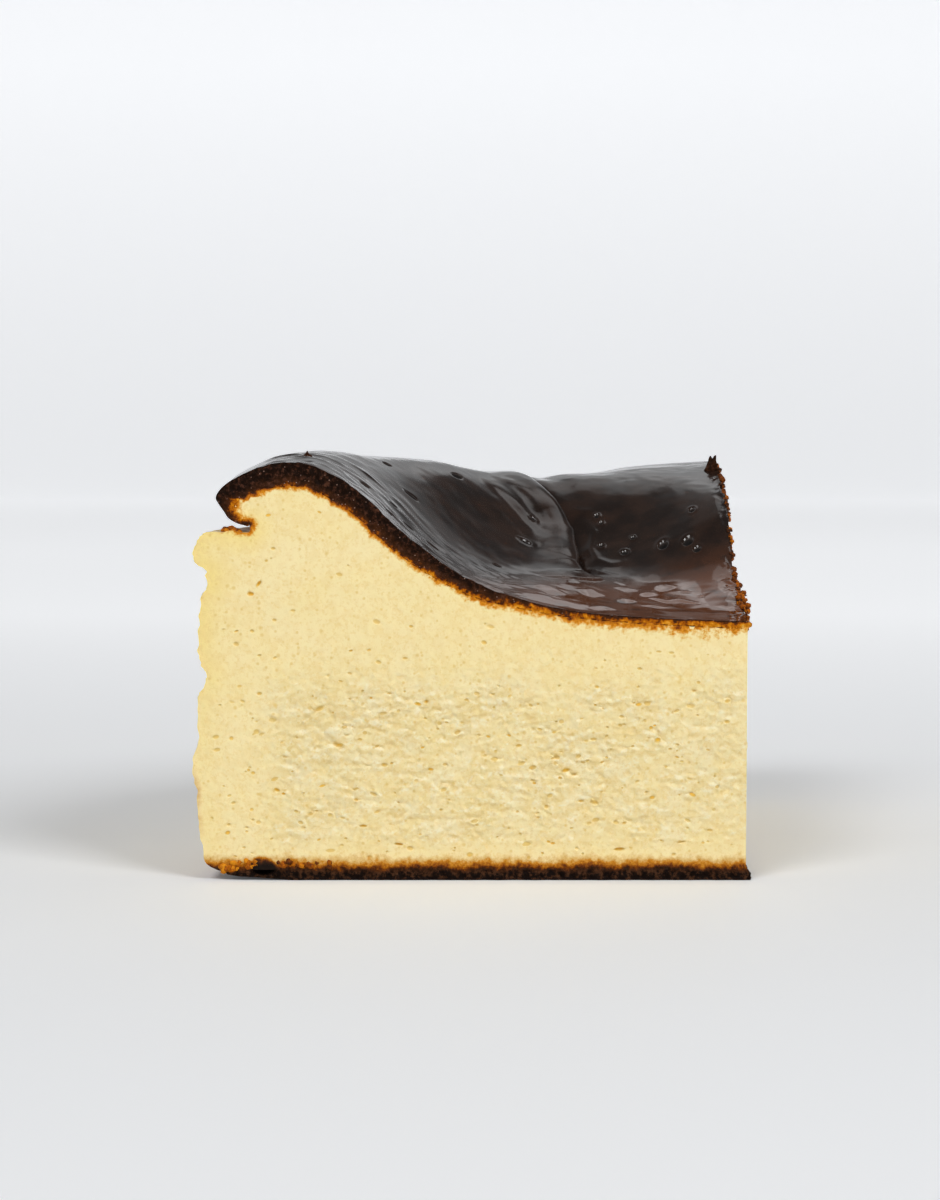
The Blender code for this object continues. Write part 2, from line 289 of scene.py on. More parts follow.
def sector(front: Array, arc: Array, back: Array, direction: Array) -> Array:
    """Outline a wedge in plan: out along the front cut, round the arc and in along the second cut.

    Args:
        front: radii along the front cut.
        arc: points of the arc.
        back: radii along the second cut, outwards, with both ends.
        direction: the second cut's direction.

    Returns:
        The outline.
    """
    return join([
        stacked([front, np.zeros_like(front)]), arc, back[-2:0:-1, None] * direction[None],
    ])


def lumps(across: Array, along: Array, seed: int, tilt: float) -> Array:
    """Make packed lumps, most of whose upper edges stand out, one to each unit square or so.

    Args:
        across: first coordinate.
        along: second coordinate, upwards.
        seed: picks the lumps.
        tilt: how far a lump's top leans out, on the average.

    Returns:
        The height at each point, mostly between 0 and 1.
    """
    chance = np.random.default_rng(seed)
    low = np.floor([across.min() - 1, along.min() - 1])
    high = np.ceil([across.max() + 1, along.max() + 1])
    column, row = np.meshgrid(np.arange(low[0], high[0] + 1), np.arange(low[1], high[1] + 1))
    centres = stacked([(column + row % 2 * 0.5).ravel(), row.ravel()])
    centres += chance.uniform(-0.42, 0.42, centres.shape)
    rise = chance.uniform(0, 0.4, len(centres))
    lean = chance.normal(0, 0.5, len(centres))
    slope = tilt * chance.uniform(0.3, 1.3, len(centres))
    index, gap = nearest(tree_of(centres), stacked([across, along]))
    lean, slope = lean[index], slope[index]
    above = (along - centres[index, 1]) * np.cos(lean) + (across - centres[index, 0]) * np.sin(lean)
    top = np.maximum(above - 0.1, 0)
    return 0.35 * (1 - np.minimum(gap, 1) ** 2) + slope * (above - 3 * top ** 2) + rise[index]


def net_points(outline: Array, spacing: float) -> Array:
    """Lay even points inside a closed outline, row by row.

    Args:
        outline: the outline's corners, in order.
        spacing: distance between the points.

    Returns:
        The points that are clear of the outline.
    """
    start, end = outline, np.roll(outline, -1, axis=0)
    row_step = spacing * math.sqrt(0.75)
    lowest, highest = outline[:, 1].min(), outline[:, 1].max()
    rows = []
    for row, level in enumerate(np.arange(lowest + row_step / 2, highest, row_step)):
        crossed = (start[:, 1] > level) != (end[:, 1] > level)
        first, last = start[crossed], end[crossed]
        hits = first[:, 0] + (level - first[:, 1]) / (last[:, 1] - first[:, 1]) * (last[:, 0] - first[:, 0])
        hits.sort()
        offset = row % 2 * spacing / 2
        for low, high in zip(hits[::2], hits[1::2]):
            begin = math.ceil((low - offset) / spacing) * spacing + offset
            columns = np.arange(begin, high, spacing)
            rows.append(np.stack([columns, np.full_like(columns, level)], axis=1))
    points = join(rows)
    dense = blend(start[:, None], end[:, None], np.linspace(0, 1, 6)[None, :-1, None]).reshape(-1, 2)
    gaps = nearest(tree_of(dense), points)[1]
    return points[gaps > 0.6 * spacing]


@dataclass
class Patchwork:
    """Patches that share their edges, sewn into one closed mesh."""

    name: str
    points: list[Array] = field(default_factory=list)
    faces: list[Array] = field(default_factory=list)
    marks: list[Marks] = field(default_factory=list)
    finishes: list[int] = field(default_factory=list)
    count: int = 0

    def add(self, points: Array, faces: Array, marks: Marks, finish: int = 0) -> None:
        """Add one patch.

        Args:
            points: places in millimetres.
            faces: triangles as three point numbers each.
            marks: named values for each point.
            finish: its material's number.
        """
        self.points.append(points)
        self.faces.append(faces + self.count)
        self.marks.append(marks)
        self.finishes.extend([finish] * len(faces))
        self.count += len(points)

    def add_net(self, outline: Array, spacing: float, place: Place,
                mark: Callable[[Array], Marks], finish: int = 0,
                dimples: Sequence["Dimple"] = (), plain: Place | None = None) -> None:
        """Add a Delaunay net inside a flat outline.

        Args:
            outline: corners, which the neighbours share.
            spacing: distance between the net's points.
            place: turns flat points into places on the slice.
            mark: gives flat points their named values.
            finish: its material's number.
            dimples: hollows that need closer points.
            plain: tells where wider points will do.
        """
        inner = net_points(outline, spacing)
        if plain is not None:
            wide = net_points(outline, 1.9 * spacing)
            inner = join([inner[~plain(inner)], wide[plain(wide)]])
        for dimple in dimples:
            inner = join([inner[~dimple.covers(inner, 1.9)], dimple.rings(0.5 * spacing)])
        flat = join([outline, inner])
        result = delaunay_2d_cdt([Vector(point) for point in flat], [], [list(range(len(outline)))], 1, 1e-7)
        flat = np.array([tuple(point) for point in result[0]])
        triangles = [face for face in result[2] if len(face) == 3]
        self.add(place(flat), np.array(triangles), mark(flat), finish)

    def add_grid(self, points: Array, marks: Marks, finish: int = 0) -> None:
        """Add a grid of rows and columns, each quad cut along its shorter diagonal.

        Args:
            points: rows and columns of places.
            marks: named values, in the same rows and columns.
            finish: its material's number.
        """
        rows, columns = points.shape[:2]
        index = np.arange(rows * columns).reshape(rows, columns)
        corners = [index[:-1, :-1], index[:-1, 1:], index[1:, 1:], index[1:, :-1]]
        a, b, c, d = (corner.ravel() for corner in corners)
        flat = points.reshape(-1, 3)
        short = np.linalg.norm(flat[a] - flat[c], axis=1) <= np.linalg.norm(flat[b] - flat[d], axis=1)
        first = np.where(short[:, None], np.stack([a, b, c], 1), np.stack([a, b, d], 1))
        second = np.where(short[:, None], np.stack([a, c, d], 1), np.stack([b, c, d], 1))
        self.add(flat, join([first, second]), {k: v.ravel() for k, v in marks.items()}, finish)

    def sew(self, form: "SliceForm") -> Object:
        """Weld the shared edges and make the object.

        Args:
            form: the slice.

        Returns:
            A closed mesh object with its faces pointing out.
        """
        points = join(self.points)
        keys = np.round(points, 4)
        _, first, index = np.unique(keys, axis=0, return_index=True, return_inverse=True)
        faces = index.reshape(-1)[join(self.faces)]
        kept = (faces[:, 0] != faces[:, 1]) & (faces[:, 1] != faces[:, 2]) & (faces[:, 2] != faces[:, 0])
        world = form.in_metres(points[first])
        data = bpy.data.meshes.new(self.name)
        data.from_pydata(world.tolist(), [], faces[kept].tolist())
        data.polygons.foreach_set("material_index", np.array(self.finishes)[kept])
        for name in self.marks[0]:
            layer = data.attributes.new(name, "FLOAT", "POINT")
            values = join([marks[name] for marks in self.marks])[first]
            layer.data.foreach_set("value", values.astype(np.float32))
        turn_outward(data)
        return report(put_in_scene(self.name, data))


def put_in_scene(name: str, data: bpy.types.ID) -> Object:
    """Make an object of a mesh, lamp or camera, in the scene."""
    thing = bpy.data.objects.new(name, data)
    bpy.context.scene.collection.objects.link(thing)
    return thing


def turn_outward(data: bpy.types.Mesh) -> None:
    """Weld a mesh, turn its faces out and shade it smooth but for sharp edges."""
    work = bmesh.new()
    work.from_mesh(data)
    bmesh.ops.remove_doubles(work, verts=work.verts, dist=WELD * MM)
    bmesh.ops.recalc_face_normals(work, faces=work.faces)
    if work.calc_volume(signed=True) < 0:
        bmesh.ops.reverse_faces(work, faces=work.faces)
    work.to_mesh(data)
    work.free()
    data.shade_smooth()
    data.set_sharp_from_angle(angle=SHARP_EDGE)


def report(piece: Object) -> Object:
    """Log how many faces a piece has and whether it is closed, and give it back."""
    data = piece.data
    edges = np.empty(len(data.loops), dtype=np.int32)
    data.loops.foreach_get("edge_index", edges)
    open_edges = int(np.count_nonzero(np.bincount(edges, minlength=len(data.edges)) != 2))
    LOG.info("%s: %d faces, %d open edges", piece.name, len(data.polygons), open_edges)
    return piece


@dataclass(frozen=True)
class SliceForm:
    """The true form of the slice, which every piece is cut from."""

    tip_x: float = 36.6
    tip_y: float = -37.3
    wedge: float = math.radians(91.5)
    seam_radius: float = 66.0
    top_at_front: Pairs = (
        (0, 35.2), (11, 35.6), (20, 36.2), (25.2, 36.9), (31, 38.3), (36, 39.9), (41.9, 43.4),
        (46.7, 47.3), (51, 51.4), (55.5, 54.6), (59, 56.1), (62.5, 56.45), (66, 55.9),
    )
    top_at_back: Pairs = (
        (0, 35.2), (8, 35.9), (14, 37.4), (22, 39.3), (29, 41.7), (33.5, 44.9), (37.3, 48.3),
        (45.7, 51.8), (56, 54.3), (66, 55.8),
    )
    crest_rise: Pairs = (
        (0, 0), (6, 0.8), (12, 1.3), (18, 1.45), (23, 1.35), (28, 0.9), (34, 0.6),
        (41, 0.2), (45, -0.1), (50, -1.1), (56, -2.1), (62, -2.4), (65, -2.9), (69, -2.2),
        (75, -1.7), (80, -0.9), (91.5, 0),
    )
    rim_at_front: Pairs = (
        (66, 55.9), (68, 55), (69.8, 54), (71, 53), (71.6, 51.9), (71.2, 51), (70.5, 50),
        (69.9, 49.1), (68.7, 48.4), (67.4, 48), (67.1, 47.3), (68.2, 47.2), (69.4, 47.5), (70.7, 47.2),
        (72, 47.25), (73.2, 47.1), (74.1, 46.2), (74.6, 44.8), (74.5, 43.1), (73, 42.1), (72.9, 40.2),
        (73.6, 38.2), (73.9, 35.5), (74.1, 32.5), (73.9, 29.6), (73, 27.9), (73.6, 25.9), (74.3, 24),
        (74.2, 19), (75, 15.2), (74.5, 12.4), (74.3, 8.4), (73.7, 5), (73.4, 2.5), (71.8, 1.4),
    )
    rim_at_middle: Pairs = (
        (66, 55.9), (68.2, 55.2), (70.2, 54.2), (71.8, 52.9), (72.7, 51.5), (72.9, 50.5), (72.8, 49.7),
        (72.5, 49), (72.3, 48.4), (72.2, 47.9), (72.2, 47.4), (72.4, 46.9), (72.7, 46.4), (73, 45.9),
        (73.4, 45.3), (73.8, 44.6), (74.1, 43.8), (74.3, 42.8), (74.3, 41.7), (74.2, 40.4), (74.2, 39),
        (74.3, 37.2), (74.3, 34.9), (74.2, 32.2), (74.1, 29.6), (74, 27.6), (74.1, 25.8), (74.2, 23.6),
        (74.2, 19.2), (74.3, 15.4), (74.2, 12.2), (74, 8.4), (73.6, 5), (73, 2.8), (71.8, 1.4),
    )
    rim_at_back: Pairs = (
        (66, 55.8), (68.4, 56), (70.4, 55.8), (72, 55), (73.1, 53.7), (73.6, 52.3), (73.7, 51.1),
        (73.5, 50), (73.3, 49.1), (73.1, 48.3), (73, 47.6), (73, 47), (73.1, 46.4), (73.3, 45.8),
    )
    curl_end: Pair = (10.0, 34.0)
    back_start: Pair = (55.0, 86.0)
    crease: Pairs = (
        (32.5, 61), (30.6, 55), (29, 51), (27.2, 47.4), (25, 44.6), (23.4, 42), (22.3, 39.6),
        (22.2, 36.6), (21.9, 34), (22, 31.6), (20.6, 29.4), (17.4, 26.6),
    )
    crease_lobe: float = 1.0
    crease_lobe_width: float = 6.5
    crease_bead: Triple = (0.25, -2.0, 2.4)
    crease_hollow: float = 2.3
    crease_hollow_width: float = 2.6
    crease_overlap: float = 0.8
    crease_round: Pair = (2.4, 1.1)
    swell: float = 0.35
    swell_length: float = 11.0
    pleats: Sequence[tuple[float, float, float, float]] = (
        (9.5, 0.9, 2, 3), (18, 2.1, -3, 3.6), (28.5, 1.3, 4, 3), (37, 2.6, 1.5, 4),
        (47.5, 1.5, -4, 3.2), (56, 2.3, 3, 3.8), (66, 2.8, -1.5, 4.2), (74.5, 1.4, -3.5, 3),
        (83, 2, 2.5, 3.6),
    )
    pleat_bulge: float = 0.5
    crust_thickness: Pairs = (
        (0, 1.1), (10, 1), (20, 0.95), (30, 1.3), (40, 2), (50, 2.7), (60, 3), (66, 3),
    )
    burnt_depth: Pairs = (
        (0, -0.05), (12, -0.02), (22, 0.12), (30, 0.6), (40, 1.6), (50, 2.6), (60, 2.9), (66, 2.9),
    )
    ember_width: Pairs = ((0, 1.45), (18, 1.4), (30, 1), (44, 0.6), (66, 0.5))
    rim_burnt_depth: Sequence[float] = (3, 3, 2.8, 2.5, 2.1, 1.6, 0.9, 0.55, 0.3, 0.2)
    rim_ember_width: Sequence[float] = (0.6, 0.7, 0.9, 1.2, 1.6, 1.9, 1.9, 1.5, 1.2, 1)
    rim_core: Pairs = (
        (-0.8, -2.9), (-1.4, -2.5), (-2, -2.1), (-2.5, -1.7), (-2.7, -1), (-2.2, -0.6), (-1.5, -0.1),
        (-1.2, 0.4), (-0.7, 0.7), (-0.4, 0.8),
    )

    def in_metres(self, points: Array) -> Array:
        """Turn places left, behind and above (mm) into metres in the frame."""
        left, behind, height = points.T
        return np.stack([self.tip_x - left, self.tip_y + behind, height], axis=1) * MM

    def at(self, radius: Array, angle: Array, height: Array) -> Array:
        """Turn radius, angle and height into left, behind and above."""
        radius, angle, height = np.broadcast_arrays(radius, angle, height)
        return np.stack([radius * np.cos(angle), radius * np.sin(angle), height], axis=-1)

    def angle_of(self, cut: Cut) -> float:
        """Angle of a cut's plane from the front cut."""
        return self.wedge if cut is Cut.BACK else 0

    def direction(self, angle: float) -> Array:
        """Point outwards in plan at an angle."""
        return np.array([math.cos(angle), math.sin(angle)])

    def out_of(self, cut: Cut) -> Array:
        """Point out of a cut's plane in plan."""
        return np.array([0.0, -1.0] if cut is Cut.FRONT else [-math.sin(self.wedge), math.cos(self.wedge)])

    def to_back(self, left: Array, behind: Array) -> Array:
        """Distance of points in plan from the second cut."""
        return left * math.sin(self.wedge) - behind * math.cos(self.wedge)

    def on_cut(self, cut: Cut, flat: Array, out: Array | float = 0) -> Array:
        """Place points (radius, height) on a cut, so far out of its plane."""
        places = stacked([flat[:, 0:1] * self.direction(self.angle_of(cut))[None], flat[:, 1]])
        places[:, :2] += (out + 0 * flat[:, 0])[:, None] * self.out_of(cut)[None]
        return places

    def crease_strength(self, along: Array) -> Array:
        """Grade the crease from its start at the crest to its end in the hollow."""
        return (0.35 + 0.65 * soften(along, 0.08, 0.4)) * fall(along, 0.75, 1)

    def base_height(self, radius: Array, angle: Array) -> Array:
        """Height of the top skin without its folds, inside the seam."""
        degrees = np.degrees(angle)
        turn_start = blend(30, 60, soften(radius, 16, 30))
        share = np.clip((degrees - turn_start) / (93 - turn_start), 0, 1)
        share = share * share * (3 - 2 * share)
        height = blend(read_curve(self.top_at_front, radius), read_curve(self.top_at_back, radius), share)
        return height + read_curve(self.crest_rise, degrees) * soften(radius, 34, 62)

    def fold_height(self, left: Array, behind: Array, radius: Array) -> Array:
        """Height that the crease and the slow swells add to the top skin."""
        inner = fall(radius, 60, self.seam_radius) * soften(behind, 0, 6)
        side, along = beside(self.crease, left, behind)
        lobe = self.crease_lobe * bell(side, self.crease_lobe_width)
        bead, spot, half_width = self.crease_bead
        lobe = lobe + bead * bell(side - spot, half_width)
        reach, drop = self.crease_round
        share = np.clip(side / reach + 1, 0, 1)
        lobe = lobe - drop * (1 - np.sqrt(1 - np.minimum(share, 0.98) ** 2))
        hollow = -self.crease_hollow * bell(side, self.crease_hollow_width)
        crease = self.crease_strength(along) * blend(lobe, hollow, soften(side, -0.2, 0.2))
        swell = self.swell * swells(left / self.swell_length, behind / self.swell_length, 2.5)
        return inner * (crease + swell * soften(radius, 12, 30))

    def top_height(self, radius: Array, angle: Array) -> Array:
        """Height of the top skin inside the seam."""
        radius, angle = (part.astype(float) for part in np.broadcast_arrays(radius, angle))
        left, behind = radius * np.cos(angle), radius * np.sin(angle)
        return self.base_height(radius, angle) + self.fold_height(left, behind, radius)

    def pleat_relief(self, angle: Array, height: Array) -> Array:
        """Distance that the lining paper's pleats move the wall, inwards negative."""
        degrees = np.degrees(angle)
        depth_share = blend(0.3, 1, soften(height, 4, 46)) * soften(height, 1, 6)
        relief = self.pleat_bulge * swells(degrees / 9, height / 22, 7.1).reshape(degrees.shape)
        for centre, depth, lean, half_width in self.pleats:
            line = centre + lean * (height / 57 - 0.5)
            gap = np.abs(np.radians(degrees - line)) * self.seam_radius
            relief = relief - depth * depth_share * np.maximum(0, 1 - gap / half_width) ** 1.4
        return relief * soften(degrees, 0, 6) * fall(degrees, 87, 91.5)

    def rim_rows(self, angle: Array) -> Array:
        """Radius and height of every row of the rim and wall at some angles.

        Args:
            angle: angles from the front cut.

        Returns:
            An array of angles, rows and (radius, height).
        """
        degrees = np.degrees(angle)
        front, middle = np.array(self.rim_at_front), np.array(self.rim_at_middle)
        back = join([np.array(self.rim_at_back), middle[len(self.rim_at_back):]])
        curl = fall(degrees, *self.curl_end)[:, None, None]
        turn = soften(degrees, *self.back_start)[:, None, None]
        rows = blend(blend(middle[None], front[None], curl), back[None], turn)
        rows[:, 0, 0] = self.seam_radius
        rows[:, 0, 1] = self.top_height(np.full_like(angle, self.seam_radius), angle)
        rows[:, 1:, 1] += read_curve(self.crest_rise, degrees)[:, None] * soften(rows[:, 1:, 1], 47, 56)
        count = len(middle)
        numbers = np.arange(count)
        fade = soften(numbers, 0, 5) * fall(numbers, count - 3, count + 2)
        angles = np.repeat(angle[:, None], count, axis=1)
        rows[..., 0] += self.pleat_relief(angles, rows[..., 1]) * fade
        return rows

    def through_rows(self, rows: Array, place: Array) -> Array:
        """Read the same places on every angle's rows."""
        return read_rows(rows, place, slice(None), (None, slice(None), None))

    def skin_line(self, angle: float) -> Array:
        """Trace the skin at a cut: radius, height, burnt depth and width of the browned band."""
        radius = np.arange(0, self.seam_radius, 0.12)
        top = stacked([
            radius, self.top_height(radius, np.full_like(radius, angle)),
            read_curve(self.burnt_depth, radius), read_curve(self.ember_width, radius),
        ])
        place = np.arange(0, 9.01, 0.06)
        rim = self.through_rows(self.rim_rows(np.array([angle])), place)[0]
        rows = np.arange(len(self.rim_burnt_depth))
        depth = np.interp(place, rows, self.rim_burnt_depth)
        width = np.interp(place, rows, self.rim_ember_width)
        return join([top, stacked([rim, depth, width])])

    def ember_at(self, line: Array, tree: KDTree, flat: Array) -> Array:
        """Place cut points in the browned band: burnt below 0, orange to 1, then cream.

        Args:
            line: what skin_line gives for the cut.
            tree: a search tree of its points.
            flat: points on the cut.

        Returns:
            Each point's place in the band.
        """
        index, gap = nearest(tree, flat)
        below = gap - line[index, 2]
        return np.where(below < 0, below, below / line[index, 3])


@dataclass(frozen=True)
class Dimple:
    """A pit or slit in the top skin, or a pore in a cut."""

    across: float
    along: float
    half_length: float
    half_width: float
    depth: float
    turn: float = 0.0
    rim: float = 0.0
    # tint sets how strongly a pore's depth is painted into the cream's colour as shade.
    tint: float = 0.4

    def reach(self, across: Array, along: Array) -> Array:
        """Distance of flat points from the dimple's middle, as a share of its size."""
        dx, dy = across - self.across, along - self.along
        u = (dx * math.cos(self.turn) + dy * math.sin(self.turn)) / self.half_length
        v = (-dx * math.sin(self.turn) + dy * math.cos(self.turn)) / self.half_width
        return np.hypot(u, v)

    def relief(self, across: Array, along: Array) -> Array:
        """Height that the dimple adds at some flat points, pits negative."""
        gap = self.reach(across, along)
        return -self.depth * fall(gap, 0.35, 1) + self.rim * bell(gap - 1.25, 0.3)

    def inside(self, across: Array, along: Array) -> Array:
        """Grade flat points from 1 in the middle of the dimple to 0 at its rim."""
        return np.clip(-self.relief(across, along) / self.depth, 0, 1)

    def rings(self, spacing: float) -> Array:
        """Give flat points round the dimple, close enough to shape its wall."""
        points = [(self.across, self.along)]
        for scale in (0.3, 0.5, 0.7, 0.9, 1.1, 1.35, 1.65):
            size = scale * 0.5 * (self.half_length + self.half_width)
            for turn in np.linspace(0, math.tau, max(7, round(math.tau * size / spacing)), endpoint=False):
                u = scale * self.half_length * math.cos(turn + scale)
                v = scale * self.half_width * math.sin(turn + scale)
                points.append((
                    self.across + u * math.cos(self.turn) - v * math.sin(self.turn),
                    self.along + u * math.sin(self.turn) + v * math.cos(self.turn),
                ))
        return np.array(points)

    def covers(self, points: Array, scale: float) -> Array:
        """Tell which flat points lie inside the dimple at some scale."""
        return self.reach(*points.T) < scale


@dataclass(frozen=True)
class Fold:
    """A thin fold that stands up from the top skin, along a line in plan."""

    line: Pairs
    height: float
    half_width: float

    def relief(self, left: Array, behind: Array) -> Array:
        """Height that the fold adds at some flat points."""
        side, along = beside(self.line, left, behind)
        ends = np.sin(math.pi * np.clip(along, 0.04, 0.96)) ** 0.7
        return self.height * ends * bell(side, self.half_width)


def crust_marks(ember: Array, thin: Array | float = 0, pit: Array | float = 0) -> Marks:
    """Name the values that the burnt finishes read."""
    plain = 0 * ember
    return {"thin": plain + thin, "ember": ember, "pit": plain + pit}


@dataclass
class TopCrust:
    """The burnt top skin: a closed shell over the cream, curled over at the rim."""

    form: SliceForm
    skin_spacing: float = 0.34
    edge_spacing: float = 0.3
    rim_spacing: float = 0.42
    strip_spacing: float = 0.2
    inner_spacing: float = 2.2
    lip_rows: int = 9
    proud: float = 0.07
    tuck: float = 0.06
    proud_width: float = 1.6
    strip_grain: float = 0.19
    back_grain: float = 2.3
    wrinkle: float = 0.3
    foot_ripple: float = 0.035
    foot_lift: Pairs = ((0, 0), (18, 1), (30, 0.5), (42, 0))
    tip_lift: Pairs = ((0, 0), (5, 0.02), (15, -0.5), (28, 0))
    facets: Sequence[tuple[float, float, float, float, float]] = (
        (20.7, 15.2, 2.2, 2, 0.11), (14.9, 21.3, 1.9, 1.6, 0.1), (12.3, 17.6, 1.6, 1.8, 0.11),
        (16, 24.8, 1.4, 0.9, 0.09), (15.7, 12.7, 1.3, 1.5, 0.13), (9.9, 22.3, 1.8, 1.7, 0.12),
        (8.6, 14.4, 3.4, 1.1, 0.1), (36.1, 13.2, 1.4, 1.7, 0.11), (26.5, 10.9, 2, 2.2, 0.11),
        (22.7, 20.9, 1.1, 1.2, 0.13), (6.8, 20, 1, 0.7, 0.08), (4.5, 18.4, 1, 0.7, 0.07),
        (31.8, 16.5, 1.4, 1.2, 0.12), (19.6, 4.6, 1.7, 1.3, 0.12), (11.5, 9.8, 1.6, 0.9, 0.09),
    )
    high_ripple: float = 0.2
    tongue: Pairs = (
        (17.6, 26.3), (19.2, 24.3), (21.6, 22.9), (23.7, 21.8), (25.4, 21.2), (28, 21.6), (31, 23.5),
        (31, 33), (23, 34), (22, 31.6), (20.4, 29.4),
    )
    tongue_height: float = 0.4
    pits: Sequence[Dimple] = tuple(Dimple(*sizes) for sizes in (
        (8.7, 35.9, 0.78, 0.95, 1.25, 0, 0.15), (5.1, 34.8, 0.85, 0.8, 1.15, 0, 0.15),
        (3.9, 32.9, 0.6, 0.6, 0.9, 0, 0.1), (4, 41.1, 0.5, 0.7, 0.9, 0, 0.1),
        (14.4, 36.6, 0.6, 0.55, 0.6, 0, 0.14), (13, 39.4, 0.4, 0.4, 0.45, 0, 0.12),
        (18.2, 44.4, 0.4, 0.4, 0.4, 0, 0.2), (17.6, 43, 0.35, 0.35, 0.35, 0, 0.2),
        (17.8, 38.6, 0.4, 0.45, 0.4, 0, 0.25), (29.3, 31.9, 0.9, 0.5, 0.7, 0, 0.1),
        (28, 38.3, 0.5, 0.4, 0.4, 0, 0.12), (51.9, 7.6, 0.9, 0.5, 0.6, 2.4),
        (48.1, 10.1, 0.8, 0.5, 0.7, 2.4), (48.4, 4.6, 0.6, 0.4, 0.5, 2.4), (46, 7.6, 0.9, 0.55, 0.7, 2.5),
        (42.6, 9, 1.1, 0.6, 0.8, 2.6), (45.9, 21.4, 1.3, 0.7, 0.8, 2.6), (49.5, 27.6, 0.9, 0.7, 0.6, 2.2),
        (39.4, 37.6, 1.2, 0.8, 0.6, 2.2), (33.6, 20.1, 0.8, 0.45, 0.45, 2.7),
    ))
    folds: Sequence[Fold] = (
        Fold((
            (21.4, 44.2), (19.6, 43.2), (18.7, 41.5), (19.4, 38.5), (18.6, 35.5), (16.6, 34.2), (14.6, 34.6),
        ), 0.3, 0.6),
        Fold(((34.5, 42.5), (30.5, 40), (27, 36.5)), 0.22, 1.1),
        Fold(((33, 45.6), (29, 43.6), (26, 40.6)), 0.25, 1.1),
        Fold(((36, 38.6), (32, 36.4), (28.6, 33.2)), 0.18, 1.2),
        Fold(((22.2, 45.6), (20.4, 45.2), (18.4, 45.6)), 0.25, 0.6),
        Fold(((20.6, 36.5), (20.2, 33.5), (18.5, 31.4), (16.2, 30.4)), 0.4, 0.6),
    )

    def fine_relief(self, left: Array, behind: Array, radius: Array) -> Array:
        """Height of everything on the skin that is finer than its folds."""
        form = self.form
        away = fall(radius, form.seam_radius - 1.5, form.seam_radius)
        slant = behind + 0.1 * left
        near = soften(radius, 26, 38) * fall(behind, 9, 24)
        broken = blend(0.2, 1, soften(ripple(left / 5, behind / 3, 30), -0.3, 0.35))
        wander = slant + 0.9 * ripple(left / 5, behind / 5, 29)
        line = 1 - np.abs(ripple(left / 11, wander / 4, 31))
        wrinkle = 1.2 * self.wrinkle * near * broken * line ** 2.5
        close = soften(radius, 27, 38) * fall(behind, 2.5, 9)
        wrinkle += 0.3 * self.wrinkle * close * (1 - np.abs(ripple(left / 4, wander / 1.7, 32))) ** 3
        wrinkle += 0.05 * near * ripple(left / 1.6, slant / 1.1, 28)
        on_foot = fall(radius, 29, 40)
        foot_x = left + 0.8 * ripple(left / 2.6, behind / 4, 37)
        foot_y = behind + 1 * ripple(left / 2.2, behind / 5, 38)
        foot = self.foot_ripple * on_foot * ripple(foot_x / 4.2, foot_y / 3.4, 33)
        tip, lift = read_curve(self.tip_lift, behind), read_curve(self.foot_lift, behind)
        lift = blend(tip, lift, soften(left, 4, 15)) * on_foot * soften(left, 0, 5)
        foot += sum(self.mirror(foot_x, foot_y, *facet) for facet in self.facets)
        high = soften(radius, 38, 50) * soften(behind, 4, 16) * (1 - 0.6 * soften(radius, 54, 62))
        high = self.high_ripple * high * ripple((left + 0.6 * behind) / 6.5, (behind - 0.6 * left) / 12, 35)
        skin = 0.03 * ripple(left / 1.8, behind / 1.8, 36) * soften(behind, 0, 2) * (1 - 0.7 * on_foot)
        pits = sum(pit.relief(left, behind) for pit in self.pits)
        folds = sum(fold.relief(left, behind) for fold in self.folds)
        tongue = self.tongue_height * self.on_tongue(left, behind)
        foot = foot * (1 - 0.8 * tongue / self.tongue_height)
        total = wrinkle + foot + lift + high + skin + pits + folds + tongue
        return total * away + self.ragged_edge(left, behind)

    def mirror(self, left: Array, behind: Array, centre_left: float, centre_behind: float,
               half_width: float, half_depth: float, tilt: float) -> Array:
        """Height of a small facet that is steeper than the skin around it."""
        along = behind - centre_behind
        reach = np.hypot((left - centre_left) / half_width, along / half_depth)
        return tilt * along * fall(reach, 0.84, 1.12)

    def on_tongue(self, left: Array, behind: Array) -> Array:
        """Grade the end of the crease's lobe, which lies over the foot like a tongue.

        Args:
            left: distances left of the tip.
            behind: distances behind it.

        Returns:
            1 on the tongue and 0 outside, with a steep edge in front and a soft one behind.
        """
        corners = np.array(self.tongue)
        inside = np.zeros(left.shape, dtype=bool)
        gap = np.full(left.shape, 1e9)
        for start, end in zip(corners, np.roll(corners, -1, axis=0)):
            step = end - start
            crosses = (start[1] > behind) != (end[1] > behind)
            level = (behind - start[1]) / (step[1] if step[1] else 1)
            inside ^= crosses & (left < start[0] + level * step[0])
            gap = np.minimum(gap, along_stretch(left, behind, start, end)[1])
        away = fall(behind, 25, 33) * fall(left, 23.5, 29)
        return soften(np.where(inside, gap, -gap), -0.1, 0.6) * np.maximum(away, 0)

    def ragged_edge(self, left: Array, behind: Array) -> Array:
        """Height of the torn skin beside the two cuts."""
        to_back = self.form.to_back(left, behind)
        front = 0.1 * ripple(left / 0.9, behind / 0.9, 41) * bell(behind, 0.5)
        back = 0.45 * ripple(behind / 2.1, left, 42) + 0.1 * ripple(behind / 0.7, left, 43)
        back = back * blend(0.3, 1.3, soften(ripple(behind / 4.5, left, 44), -0.3, 0.4))
        return front + back * bell(to_back, 1.1) * soften(behind, 1, 4)

    def set_proud(self, places: Array, proud: float) -> Array:
        """Push the shell's cut edges out of the two cuts, or in where proud is negative."""
        left, behind, height = places.T
        to_back = self.form.to_back(left, behind)
        front = proud * fall(behind, 0, self.proud_width)
        back = proud * fall(to_back, 0, self.proud_width)
        return np.stack([
            left - back * math.sin(self.form.wedge),
            behind - front + back * math.cos(self.form.wedge),
            height,
        ], axis=1)

